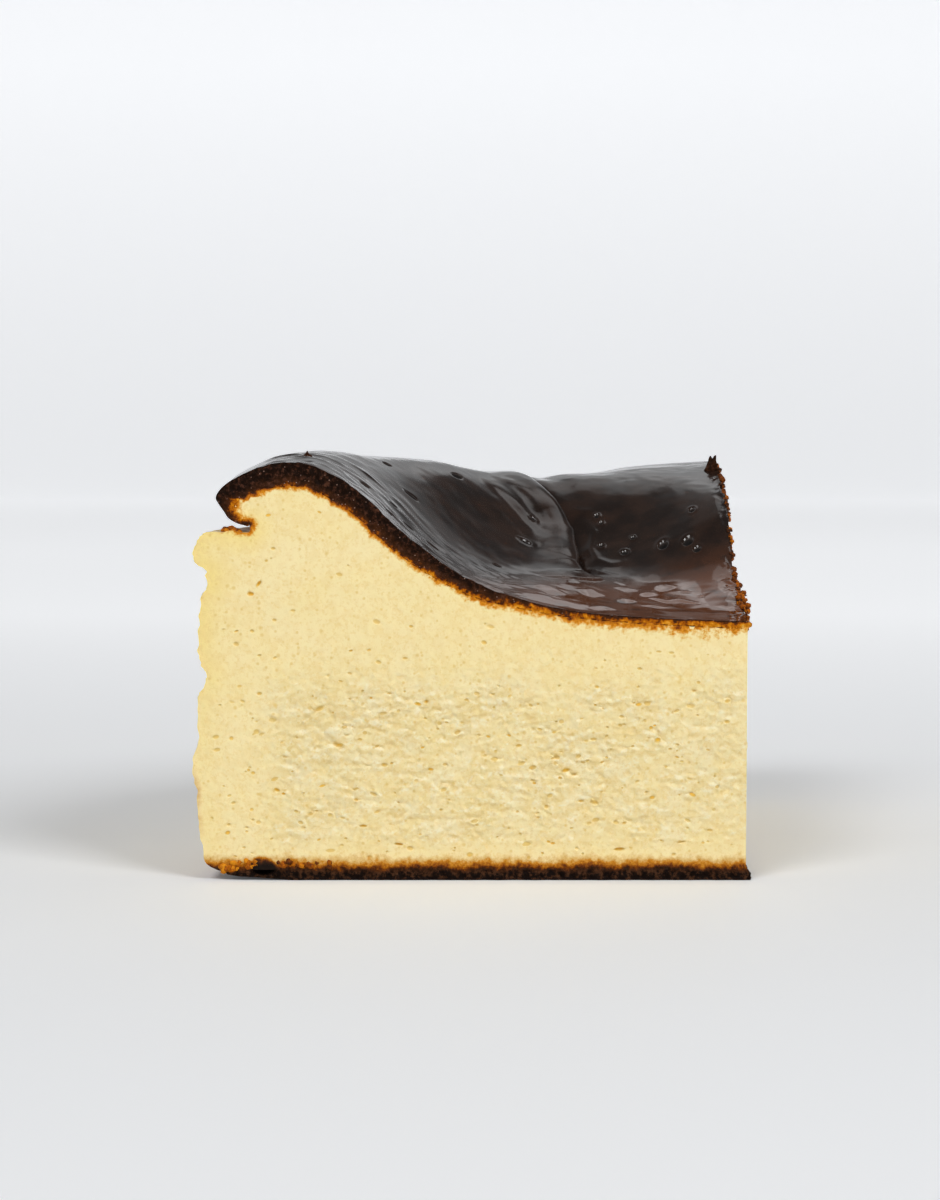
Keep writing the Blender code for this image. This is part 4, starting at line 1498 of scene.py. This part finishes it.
@dataclass
class Crumbs:
    """Toasted crumbs that cling to the slice, all made by one node tree."""

    form: SliceForm
    crust: TopCrust
    smallest: float = 0.14
    largest: float = 0.5
    knobs: float = 0.7
    seed: int = 121
    edge_count: int = 420

    def second_cut(self, chance: np.random.Generator) -> tuple[Array, Array]:
        """Pick clumped spots on the skin's edge at the second cut, and their tones."""
        form = self.form
        radius = chance.uniform(2.5, 65, self.edge_count)
        radius = radius[ripple(radius / 2.2, 0 * radius, 131) > chance.uniform(-0.6, 0.4, len(radius))]
        count = len(radius)
        top = self.crust.skin_place(radius[:, None] * form.direction(form.wedge)[None])
        drop = 1.9 * chance.random(count) ** 1.3 - 0.12
        top[:, 2] -= drop
        top[:, :2] += chance.uniform(-0.15, 0.3, count)[:, None] * form.out_of(Cut.BACK)[None]
        return top, np.clip(0.38 + 0.25 * drop + chance.uniform(-0.25, 0.25, count), 0, 1)

    def handful(self, chance: np.random.Generator, count: int, start: Triple,
                end: Triple, stray: float, tone: float) -> tuple[Array, Array]:
        """Strew a few spots between two places.

        Args:
            chance: the draw to use.
            count: how many.
            start: where the strewing starts.
            end: where it ends.
            stray: how far they stray from the line.
            tone: their mean tone.

        Returns:
            The spots and their tones.
        """
        share = chance.random(count)[:, None]
        places = blend(np.array(start)[None], np.array(end)[None], share)
        places = places + chance.uniform(-stray, stray, (count, 3)) * np.array([1.0, 0.15, 1.0])
        return places, np.clip(tone + chance.uniform(-0.25, 0.25, count), 0, 1)

    def spots(self) -> tuple[Array, Array]:
        """Gather every spot and tone."""
        chance = np.random.default_rng(self.seed)
        groups = [
            self.second_cut(chance),
            self.handful(chance, 30, (70.8, 0.6, 47.5), (68.6, 0.6, 47.4), 0.25, 0.62),
            self.handful(chance, 60, (71.3, 0.1, 1.6), (66.4, 0.1, 2.4), 0.45, 0.8),
            self.handful(chance, 26, (63.4, 0.1, 2.2), (56, 0.1, 2.1), 0.35, 0.55),
            self.handful(chance, 70, (-0.2, 5, 36.1), (-1.2, 24, 38.3), 0.6, 0.5),
        ]
        places, tones = zip(*groups)
        return join(places), join(tones)

    def tree(self) -> NodeTree:
        """Make the node tree: a knobbly crumb on each spot, turned and sized by chance."""
        tree = bpy.data.node_groups.new("toasted crumbs", "GeometryNodeTree")
        for name, kind in (("Spots", "Geometry"), ("Smallest", "Float"), ("Largest", "Float"),
                           ("Knobs", "Float"), ("Seed", "Int"), ("Finish", "Material")):
            tree.interface.new_socket(name, in_out="INPUT", socket_type=f"NodeSocket{kind}")
        tree.interface.new_socket("Crumbs", in_out="OUTPUT", socket_type="NodeSocketGeometry")
        add = partial(add_node, tree)
        sizes = add("NodeGroupInput").outputs
        ball = add("GeometryNodeMeshUVSphere", {"Segments": 8, "Rings": 6, "Radius": 1})
        draw = add("FunctionNodeRandomValue", {"Seed": sizes["Seed"]})
        squared = add("ShaderNodeMath", {0: draw.outputs["Value"], 1: 2}, operation="POWER")
        size = add("ShaderNodeMix", {0: squared.outputs[0], 2: sizes["Smallest"], 3: sizes["Largest"]})
        turn = add("FunctionNodeRandomValue", {"Seed": sizes["Seed"], "Max": (math.tau,) * 3},
                   data_type="FLOAT_VECTOR")
        scatter = add("GeometryNodeInstanceOnPoints", {
            "Points": sizes["Spots"], "Instance": ball.outputs["Mesh"], "Rotation": turn.outputs["Value"],
            "Scale": size.outputs[0],
        })
        real = add("GeometryNodeRealizeInstances", {"Geometry": scatter.outputs["Instances"]})
        knobs = add("ShaderNodeTexNoise", {"Scale": 1 / (0.4 * MM), "Detail": 2})
        middle = {0: knobs.outputs["Color"], 1: (0.5,) * 3}
        centred = add("ShaderNodeVectorMath", middle, operation="SUBTRACT")
        scaled = add("ShaderNodeVectorMath", {0: centred.outputs[0], "Scale": sizes["Knobs"]},
                          operation="SCALE")
        moved = add("GeometryNodeSetPosition", {"Geometry": real.outputs[0], "Offset": scaled.outputs[0]})
        finish = add("GeometryNodeSetMaterial", {"Geometry": moved.outputs[0], "Material": sizes["Finish"]})
        add("NodeGroupOutput", {"Crumbs": finish.outputs["Geometry"]})
        return tree

    def build(self, finish: Material) -> Object:
        """Lay a crumb on every spot.

        Args:
            finish: the crumbs' material.

        Returns:
            The crumbs as one plain mesh.
        """
        places, tones = self.spots()
        data = bpy.data.meshes.new("crumb spots")
        data.from_pydata(self.form.in_metres(places).tolist(), [], [])
        data.attributes.new("tone", "FLOAT", "POINT").data.foreach_set("value", tones.astype(np.float32))
        carrier = put_in_scene("crumb spots", data)
        modifier = carrier.modifiers.new("crumbs", "NODES")
        tree = self.tree()
        modifier.node_group = tree
        values = {
            "Smallest": self.smallest * MM, "Largest": self.largest * MM, "Knobs": self.knobs * MM,
            "Seed": self.seed, "Finish": finish,
        }
        for item in tree.interface.items_tree:
            if item.in_out == "INPUT" and item.name in values:
                modifier[item.identifier] = values[item.name]
        depsgraph = bpy.context.evaluated_depsgraph_get()
        mesh = bpy.data.meshes.new_from_object(carrier.evaluated_get(depsgraph), depsgraph=depsgraph)
        bpy.data.objects.remove(carrier)
        mesh.shade_smooth()
        return report(put_in_scene("toasted_crumbs", mesh))


class Shader:
    """A Principled material that is built up node by node."""

    def __init__(self, name: str, roughness: float) -> None:
        """Start a material.

        Args:
            name: the finish's plain name.
            roughness: its roughness all over, until something is linked to it.
        """
        self.material = bpy.data.materials.new(name)
        self.material.use_nodes = True
        self.tree = self.material.node_tree
        self.surface = self.tree.nodes["Principled BSDF"]
        self.place = self.add("TexCoord").outputs["Object"]
        self.set(Roughness=roughness)

    def add(self, kind: str, inputs: Inputs = None, **settings: object) -> Node:
        """Add a shader node, as add_node does."""
        return add_node(self.tree, f"ShaderNode{kind}", inputs, **settings)

    def set(self, **values: float | tuple[float, ...]) -> None:
        """Set sockets of the surface by name, with underscores for spaces."""
        for name, value in values.items():
            self.surface.inputs[name.replace("_", " ")].default_value = value

    def mark(self, name: str) -> Socket:
        """Read one of the piece's own marks."""
        return self.add("Attribute", attribute_name=name).outputs["Fac"]

    def math(self, operation: str, *values: object) -> Socket:
        """Join values or sockets with one sum."""
        return self.add("Math", dict(enumerate(values)), operation=operation).outputs[0]

    def times(self, first: object, second: object) -> Socket:
        """Multiply two values or sockets."""
        return self.math("MULTIPLY", first, second)

    def plus(self, first: object, second: object) -> Socket:
        """Add two values or sockets."""
        return self.math("ADD", first, second)

    def scaled(self, value: object, factor: object, offset: object) -> Socket:
        """Multiply a value or socket and add an offset."""
        return self.math("MULTIPLY_ADD", value, factor, offset)

    def vector(self, operation: str, *values: object) -> Socket:
        """Join vectors with one sum."""
        return self.add("VectorMath", dict(enumerate(values)), operation=operation).outputs[0]

    def noise(self, size: float, detail: float = 3.0, roughness: float = 0.55) -> Socket:
        """Make noise whose swells are about size millimetres."""
        return self.add("TexNoise", {
            "Vector": self.place, "Scale": 1 / (size * MM), "Detail": detail, "Roughness": roughness,
        }).outputs["Fac"]

    def specks(self, size: float, radius: float, share: float) -> Socket:
        """Scatter small round specks.

        Args:
            size: their mean distance in millimetres.
            radius: how large they are, as a share of size.
            share: what part of the places has one.

        Returns:
            1 in a speck and 0 outside.
        """
        cells = self.add("TexVoronoi", {"Vector": self.place, "Scale": 1 / (size * MM)})
        parts = self.add("SeparateColor", {0: cells.outputs["Color"]})
        chosen = self.math("LESS_THAN", parts.outputs[0], share)
        return self.times(chosen, self.fit(cells.outputs["Distance"], radius, 0.2 * radius))

    def curd(self, size: float) -> Socket:
        """Pack soft lumps, each high at its top and low at its foot.

        Args:
            size: the lumps' mean size in millimetres.

        Returns:
            About -0.8 in the feet to 0.5 at the tops.
        """
        reach = 0.9 * size * MM
        wander = self.add("TexNoise", {"Vector": self.place, "Scale": 1 / reach, "Detail": 2})
        centred = self.vector("MULTIPLY_ADD", wander.outputs["Color"], (reach,) * 3, (-0.5 * reach,) * 3)
        moved = self.vector("ADD", self.place, centred)
        cells = self.add("TexVoronoi", {"Vector": moved, "Scale": 1 / (size * MM)})
        offset = self.vector("SUBTRACT", moved, cells.outputs["Position"])
        above = self.add("SeparateXYZ", {0: offset}).outputs["Z"]
        tint = self.add("SeparateColor", {0: cells.outputs["Color"]}).outputs[0]
        slope = self.scaled(tint, 0.8 / (size * MM), 0.5 / (size * MM))
        gap = cells.outputs["Distance"]
        return self.scaled(above, slope, self.times(self.times(gap, gap), -0.4))

    def fit(self, value: object, low: float, high: float, full: float = 1.0) -> Socket:
        """Rise softly from 0 where the value is low to full where it is high."""
        return self.add("MapRange", {
            "Value": value, "From Min": low, "From Max": high, "To Max": full,
        }, interpolation_type="SMOOTHSTEP").outputs["Result"]

    def near(self, spot: Triple, reach: float, full: float) -> Socket:
        """Rise from 0 at a distance reach (mm) from a spot to 1 at a distance full."""
        middle = SliceForm().in_metres(np.array([spot]))[0]
        gap = self.add("VectorMath", {0: self.place, 1: middle}, operation="DISTANCE")
        return self.fit(gap.outputs["Value"], reach * MM, full * MM)

    def height(self) -> Socket:
        """Give the height above the surface the slice stands on, in millimetres."""
        return self.times(self.add("SeparateXYZ", {0: self.place}).outputs["Z"], 1 / MM)

    def ragged(self) -> Socket:
        """Wander by about half a millimetre either way, the same in every finish."""
        slow = self.scaled(self.noise(2.6, 2), 1.7, -0.85)
        close = self.scaled(self.noise(0.8, 4, 0.7), 2.9, -1.45)
        return self.plus(slow, close)

    def ember_band(self, tones: "Browning") -> tuple[Socket, Socket]:
        """Colour the browned band below the burnt skin.

        Args:
            tones: the browned colours.

        Returns:
            The band's colour, and how far each point is through the band.
        """
        place = self.plus(self.mark("ember"), self.ragged())
        return self.ramp(place, (
            (-1.3, tones.coal), (-0.1, tones.dark), (0.12, tones.brown), (0.35, tones.orange),
            (0.8, tones.amber), (1.15, tones.gold),
        ), -2, 2), place

    def base_band(self, tones: "Browning") -> tuple[Socket, Socket]:
        """Colour the browned band above the base, as ember_band does for the skin, pushed down to coal round
        the base's hollow as painted shade.
        """
        place = self.plus(self.height(), self.times(self.ragged(), 0.75))
        # Painted shade: round the base's hollow the band is pushed down to coal, in the cream and the base
        # alike.
        place = self.scaled(self.near(BASE_HOLLOW, 2.1, 1.2), -1.4, place)
        return self.ramp(place, (
            (0.9, tones.coal), (1.5, tones.dark), (1.75, tones.brown), (2, tones.orange),
            (2.35, tones.amber), (2.8, tones.gold),
        ), 0, 4), place

    def ramp(self, value: Socket, stops: Sequence[tuple[float, Triple]],
             low: float = 0.0, high: float = 1.0) -> Socket:
        """Turn a value into colours.

        Args:
            value: what to colour by.
            stops: (value, colour) pairs between low and high.
            low: the value at the ramp's start.
            high: the value at its end.

        Returns:
            The colour socket.
        """
        place = self.add("MapRange", {"Value": value, "From Min": low, "From Max": high})
        shares = [((spot - low) / (high - low), colour) for spot, colour in stops]
        return add_ramp(self.tree, place.outputs["Result"], shares)

    def mix(self, share: object, first: object, second: object) -> Socket:
        """Mix two colours, each a socket or three numbers."""
        first, second = ((*value, 1) if isinstance(value, tuple) else value for value in (first, second))
        return self.add("Mix", {0: share, 6: first, 7: second}, data_type="RGBA").outputs[2]

    def feed(self, name: str, socket: Socket) -> None:
        """Link one of the surface's inputs."""
        self.tree.links.new(socket, self.surface.inputs[name])

    def bump(self, *heights: tuple[Socket, float]) -> None:
        """Add fine bumps: each a height socket and how many millimetres it stands."""
        below = {}
        for height, distance in heights:
            sizes = {"Height": height, "Strength": 1, "Distance": distance * MM}
            node = self.add("Bump", sizes | below)
            below = {"Normal": node.outputs["Normal"]}
        self.feed("Normal", node.outputs["Normal"])


@dataclass(frozen=True)
class Browning:
    """The colours that the cream browns through, from burnt to golden."""

    coal: Triple = (0.0095, 0.0036, 0.0015)
    dark: Triple = (0.05, 0.016, 0.0045)
    brown: Triple = (0.15, 0.036, 0.003)
    orange: Triple = (0.42, 0.105, 0.002)
    amber: Triple = (0.72, 0.27, 0.008)
    gold: Triple = (0.8, 0.47, 0.09)


@dataclass(frozen=True)
class CreamFinish:
    """Set cream: pale yellow, moist, with orange-brown where it meets the crusts."""

    tones: Browning = Browning()
    foot_tones: Browning = Browning(
        orange=(0.34, 0.098, 0.004), amber=(0.6, 0.245, 0.016), gold=(0.7, 0.43, 0.12),
    )
    cream: Triple = (0.98, 0.815, 0.455)
    rich: Triple = (0.96, 0.755, 0.29)
    # deep and pale vary the cream's tone at random, and also paint the curds: pale as painted highlight on
    # their upturned tops, deep as painted shade in the hollows above them.
    deep: Triple = (0.88, 0.66, 0.27)
    pale: Triple = (1.0, 0.88, 0.59)
    # pore and amber paint the pores darker and more golden by their depth, as painted shade; pore also
    # colours scattered specks at random.
    pore: Triple = (0.8, 0.56, 0.16)
    amber: Triple = (0.87, 0.52, 0.08)
    toast: Triple = (0.62, 0.33, 0.09)

    def make(self) -> Material:
        """Make the material."""
        look = Shader("set cream", 0.42)
        look.set(Subsurface_Weight=0.25, Subsurface_Radius=(1, 0.85, 0.6), Subsurface_Scale=0.0002,
                   Specular_IOR_Level=0.14)
        clouds = look.fit(look.noise(6, 3), 0.35, 0.7)
        side = look.plus(look.mark("side"), look.times(look.noise(3, 2), 2))
        plain = look.mix(look.times(clouds, 0.22), self.cream, self.rich)
        high = look.scaled(look.fit(look.height(), 12, 42), 0.7, 0.3)
        body = look.mix(look.times(look.fit(side, 5.5, 0.8), high), plain, self.rich)
        torn = look.mark("torn")
        # Painted light on the curds: the lumps' tops and the upturned tops in the hollow mark are coloured
        # pale (painted highlight), and the hollows above them deep (painted shade).
        curd = look.scaled(look.curd(1.3), 0.4, look.times(look.curd(0.6), 0.45))
        crest = look.scaled(curd, torn, look.times(look.mark("hollow"), -0.9))
        clump = look.times(look.fit(look.noise(2.6, 3), 0.48, 0.64), torn)
        fine = look.noise(0.5, 3, 0.7)
        pore = look.plus(look.mark("pore"), look.scaled(fine, 0.8, -0.4))
        band, place = look.ember_band(self.tones)
        foot, level = look.base_band(self.foot_tones)
        for share, colour in (
            # Painted shade in the curds' hollows, then painted highlight on their tops.
            (look.fit(crest, -0.2, -0.8, 0.42), self.deep),
            (look.fit(crest, 0.05, 0.45, 0.95), self.pale),
            (look.times(look.fit(look.noise(1.3, 3), 0.56, 0.38), 0.3), self.deep),
            (look.times(clump, 0.42), self.pale),
            (look.fit(fine, 0.52, 0.34, 0.5), self.deep),
            (look.times(look.specks(1.1, 0.28, 0.5), 0.6), self.pore),
            (look.times(look.specks(2.1, 0.2, 0.5), 0.6), self.pore),
            # Painted shade in the pores: the deeper a point lies in a pore, the darker and more golden it is
            # coloured.
            (look.fit(pore, 0.1, 0.5, 0.8), self.pore),
            (look.fit(pore, 0.65, 1), self.amber),
            (look.fit(place, 1.6, 0.85), band),
            (look.fit(level, 3.7, 2.4), foot),
            (look.times(look.mark("toast"), look.fit(look.noise(4, 3), 0.3, 0.65)), self.toast),
        ):
            body = look.mix(share, body, colour)
        look.feed("Base Color", body)
        look.feed("Roughness", look.plus(look.times(look.noise(0.7, 3), 0.25), 0.3))
        look.bump((look.times(curd, torn), 0.13), (fine, 0.08))
        return look.material


@dataclass(frozen=True)
class SkinFinish:
    """Burnt top skin: near black and glossy on its slopes, red-brown where it is thin, with painted shade in
    its pits.
    """

    tones: Browning = Browning()
    black: Triple = (0.013, 0.0075, 0.0055)
    brown: Triple = (0.026, 0.0135, 0.009)
    red: Triple = (0.135, 0.044, 0.016)
    # Near-black colour painted inside the pits as painted shade.
    shaded_pit: Triple = (0.004, 0.0025, 0.002)

    def make(self) -> Material:
        """Make the material."""
        look = Shader("burnt skin", 0.16)
        look.set(Specular_IOR_Level=0.5)
        mottled = look.mix(look.fit(look.noise(4, 4), 0.35, 0.65), self.black, self.brown)
        reddish = look.times(look.mark("thin"), look.fit(look.noise(3, 3), 0.15, 0.5))
        skin = look.mix(reddish, mottled, self.red)
        band, place = look.ember_band(self.tones)
        # Painted shade: the pits' insides are coloured near black, as if in shadow.
        skin = look.mix(look.fit(look.mark("pit"), 0.15, 0.6), skin, self.shaded_pit)
        look.feed("Base Color", look.mix(look.fit(place, -0.6, 0), skin, band))
        patchy = look.scaled(look.fit(look.noise(5, 3), 0.3, 0.75), 0.08, 0.12)
        wet = look.scaled(look.mark("thin"), -0.75, 1)
        dull = look.fit(look.mark("pit"), 0.12, 0.4, 0.85)
        look.feed("Roughness", look.scaled(patchy, wet, dull))
        look.bump((look.noise(0.5, 3), 0.005))
        return look.material


@dataclass(frozen=True)
class EdgeFinish:
    """Cut edge of the burnt skin: moist dark grains, a few of them lighter as painted glints, over brown and
    orange.
    """

    tones: Browning = Browning()
    grain: Triple = (0.085, 0.032, 0.017)
    # glint is a lighter colour painted on scattered grains as painted highlight.
    glint: Triple = (0.36, 0.22, 0.17)

    def make(self) -> Material:
        """Make the material."""
        look = Shader("burnt edge", 0.45)
        look.set(Specular_IOR_Level=0.04)
        band, place = look.ember_band(self.tones)
        grains = look.fit(look.noise(0.6, 4, 0.75), 0.47, 0.7)
        burnt = look.times(grains, look.fit(place, 0.3, -0.3))
        # Painted highlight: scattered specks in the burnt part are coloured light as glints.
        glints = look.times(look.specks(0.55, 0.2, 0.3), look.fit(place, 0.4, 0))
        look.feed("Base Color", look.mix(glints, look.mix(burnt, band, self.grain), self.glint))
        look.bump((look.noise(0.6, 3), 0.22), (look.noise(0.25, 2), 0.1))
        return look.material


@dataclass(frozen=True)
class BaseFinish:
    """Browned base: dull, dark and granular, orange-brown along its top, with painted shade in its hollow."""

    tones: Browning = Browning(
        coal=(0.006, 0.0022, 0.001), orange=(0.34, 0.098, 0.004), amber=(0.6, 0.245, 0.016),
    )
    grain: Triple = (0.07, 0.028, 0.012)
    # Near-black colour painted into the slab's hollow as painted shade.
    shaded_pit: Triple = (0.004, 0.0018, 0.001)

    def make(self) -> Material:
        """Make the material."""
        look = Shader("browned base", 0.6)
        look.set(Specular_IOR_Level=0.06)
        band, level = look.base_band(self.tones)
        grains = look.fit(look.noise(0.8, 4, 0.7), 0.46, 0.66)
        burnt = look.times(grains, look.fit(level, 2, 1.3))
        browned = look.mix(burnt, band, self.grain)
        # Painted shade: the slab's hollow is coloured near black.
        look.feed("Base Color", look.mix(look.fit(look.mark("pit"), 0.1, 0.6), browned, self.shaded_pit))
        look.bump((look.noise(0.7, 3), 0.3), (look.noise(0.25, 2), 0.1))
        return look.material


@dataclass(frozen=True)
class CrumbFinish:
    """Toasted crumbs: each its own tone, from burnt to golden."""

    tones: Browning = Browning()

    def make(self) -> Material:
        """Make the material."""
        look = Shader("toasted crumb", 0.55)
        look.set(Specular_IOR_Level=0.12)
        tones = self.tones
        patch = look.scaled(look.noise(0.35, 3, 0.7), 0.9, -0.45)
        tone = look.plus(look.mark("tone"), patch)
        look.feed("Base Color", look.ramp(tone, (
            (0, tones.coal), (0.2, tones.dark), (0.42, tones.brown), (0.65, tones.orange), (1, tones.amber),
        )))
        look.bump((look.noise(0.25, 3), 0.08))
        return look.material


@dataclass(frozen=True)
class Studio:
    """Camera, lights, and the pale sweep that the slice stands on."""

    form: SliceForm
    camera_left: float = 37.44
    camera_ahead: float = 336.0
    camera_height: float = 61.0
    pitch: float = math.radians(3.9)
    focal_pixels: float = 2500.0
    sensor: float = 36.0
    sweep_width: float = 6.0
    sweep_front: float = 2.5
    sweep_back: float = 1.8
    sweep_bend: float = 0.44
    sweep_height: float = 0.58
    sweep_glow: Pairs = ((0, 0.05), (0.1, 0.25), (0.2, 0.43), (0.4, 0.52), (0.75, 0.56), (1, 0.51))
    room_light: Pairs = (
        (0, 0.8), (0.2, 0.7), (0.3, 0.62), (0.49, 0.68), (0.57, 0.22), (0.76, 0.22), (0.84, 0.13), (1, 0.12),
    )
    room_front: float = 0.5
    room_right: float = 0.4

    def add_camera(self) -> None:
        """Place the camera at the photograph's view."""
        data = bpy.data.cameras.new("photo view")
        data.sensor_fit = "HORIZONTAL"
        data.sensor_width = self.sensor
        data.lens = self.focal_pixels / IMAGE_SIZE[0] * self.sensor
        data.clip_start = 0.01
        camera = put_in_scene("photo view", data)
        camera.location = (
            (self.form.tip_x - self.camera_left) * MM, (self.form.tip_y - self.camera_ahead) * MM,
            self.camera_height * MM,
        )
        camera.rotation_euler = (math.pi / 2 - self.pitch, 0, 0)
        bpy.context.scene.camera = camera

    def add_light(self, name: str, place: Triple, size: Pair,
                  power: float, target: Triple = (0.0, 0.0, 0.03)) -> None:
        """Hang one soft rectangular light, aimed at the slice."""
        data = bpy.data.lights.new(name, "AREA")
        data.shape = "RECTANGLE"
        data.size, data.size_y = size
        data.energy = power
        lamp = put_in_scene(name, data)
        lamp.location = place
        lamp.rotation_euler = (Vector(target) - Vector(place)).to_track_quat("-Z", "Y").to_euler()

    def add_sweep(self) -> None:
        """Make the floor that curves up into the backdrop."""
        line = [(-self.sweep_front, 0)]
        bend = self.sweep_bend
        for turn in np.linspace(0, math.pi / 2, 24):
            line.append((self.sweep_back + bend * math.sin(turn), bend * (1 - math.cos(turn))))
        line.append((self.sweep_back + bend, max(self.sweep_height, bend + 0.1)))
        half = self.sweep_width / 2
        points = [(side, y, z) for y, z in line for side in (-half, half)]
        faces = [(2 * i, 2 * i + 1, 2 * i + 3, 2 * i + 2) for i in range(len(line) - 1)]
        data = bpy.data.meshes.new("pale_sweep")
        data.from_pydata(points, [], faces)
        data.shade_smooth()
        look = Shader("pale sweep", 0.7)
        look.set(Base_Color=(0.84, 0.85, 0.865, 1), Specular_IOR_Level=0.2)
        look.set(Emission_Color=(0.97, 0.98, 1, 1))
        place = look.add("SeparateXYZ", {0: look.place}).outputs["Y"]
        depth = look.add("MapRange", {"Value": place, "From Max": self.sweep_back + bend})
        glow = add_ramp(look.tree, depth.outputs["Result"], self.greys(self.sweep_glow))
        look.feed("Emission Strength", glow)
        data.materials.append(look.material)
        sweep = put_in_scene("pale_sweep", data)

    def greys(self, levels: Pairs) -> list[tuple[float, Triple]]:
        """Turn strengths at places into greys."""
        return [(place, (strength, strength, strength)) for place, strength in levels]

    def add_world(self) -> None:
        """Fill the room with soft white light, brightest low down and behind the slice."""
        world = bpy.data.worlds.new("soft room")
        world.use_nodes = True
        tree = world.node_tree
        back = tree.nodes["Background"]
        back.inputs["Color"].default_value = (0.96, 0.98, 1.0, 1.0)
        place = add_node(tree, "ShaderNodeTexCoord").outputs["Generated"]
        parts = add_node(tree, "ShaderNodeSeparateXYZ", {0: place}).outputs
        level = add_ramp(tree, parts["Z"], self.greys(self.room_light))
        for axis, low, high, start, end in (
            ("Y", -0.5, 0.3, self.room_front, 1), ("X", 0.24, 0.36, 1, self.room_right),
        ):
            share = add_node(tree, "ShaderNodeMapRange", {
                "Value": parts[axis], "From Min": low, "From Max": high, "To Min": start, "To Max": end,
            }).outputs["Result"]
            level = add_node(tree, "ShaderNodeMath", {0: level, 1: share}, operation="MULTIPLY").outputs[0]
        tree.links.new(level, back.inputs["Strength"])
        bpy.context.scene.world = world

    def build(self) -> None:
        """Set the whole studio up."""
        self.add_camera()
        self.add_sweep()
        self.add_world()
        self.add_light("left softbox", (-0.38, -0.62, 0.85), (0.4, 0.4), 4.35)
        self.add_light("right softbox", (0.56, -0.64, 0.72), (0.4, 0.4), 5.6)
        self.add_light("overhead softbox", (0.4, 0.42, 1), (0.36, 0.36), 0.45)
        self.add_light("back softbox", (0.17, 0.84, 0.84), (0.32, 0.6), 0.24)
        bpy.context.scene.view_settings.view_transform = "Standard"


def dress(piece: Object, slot: Slot, *materials: Material) -> None:
    """Give a piece its materials, hang it on the body and hide the imported part."""
    for material in materials:
        piece.data.materials.append(material)
    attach(piece, BODY)
    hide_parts(NODE)


CREST_FLAKE = TornFlake(
    "crest_flake",
    ((0, -0.8), (0, 0.1), (0.35, 0.6), (0.6, 1.3), (0.85, 2.1), (1.1, 2.35), (1.35, 1.85), (1.65, 2.3),
     (2, 2.45), (1.95, 1.6), (2.1, 0.9), (2.15, 0.2), (2.1, -0.8)),
    (0.6, 57.8), 0.15, 0.12,
)
CREST_POINT = TornFlake(
    "crest_point", ((0, -0.5), (0, 0.05), (0.45, 0.2), (0.85, 0.75), (1.05, 0.3), (1.5, 0.05), (1.6, -0.5)),
    (60.6, 7.6), 0, 0.35, thickness=0.6,
)


def main() -> None:
    """Build the studio and each piece of the slice."""
    logging.basicConfig(level=logging.INFO, format="%(name)s: %(message)s")
    form = SliceForm()
    Studio(form).build()
    crust = TopCrust(form)
    skin, edge = SkinFinish().make(), EdgeFinish().make()
    dress(crust.build(), Slot.TOP_CRUST, skin, edge)
    dress(Cream(form, crust).build(), Slot.CRUMB, CreamFinish().make())
    dress(BaseCrust(form).build(), Slot.BASE_CRUST, BaseFinish().make())
    for flake in (CREST_FLAKE, CREST_POINT):
        dress(flake.build(crust), Slot.TOP_CRUST, edge)
    dress(Crumbs(form, crust).build(CrumbFinish().make()), Slot.TOP_CRUST)


if __name__ == "__main__":
    main()
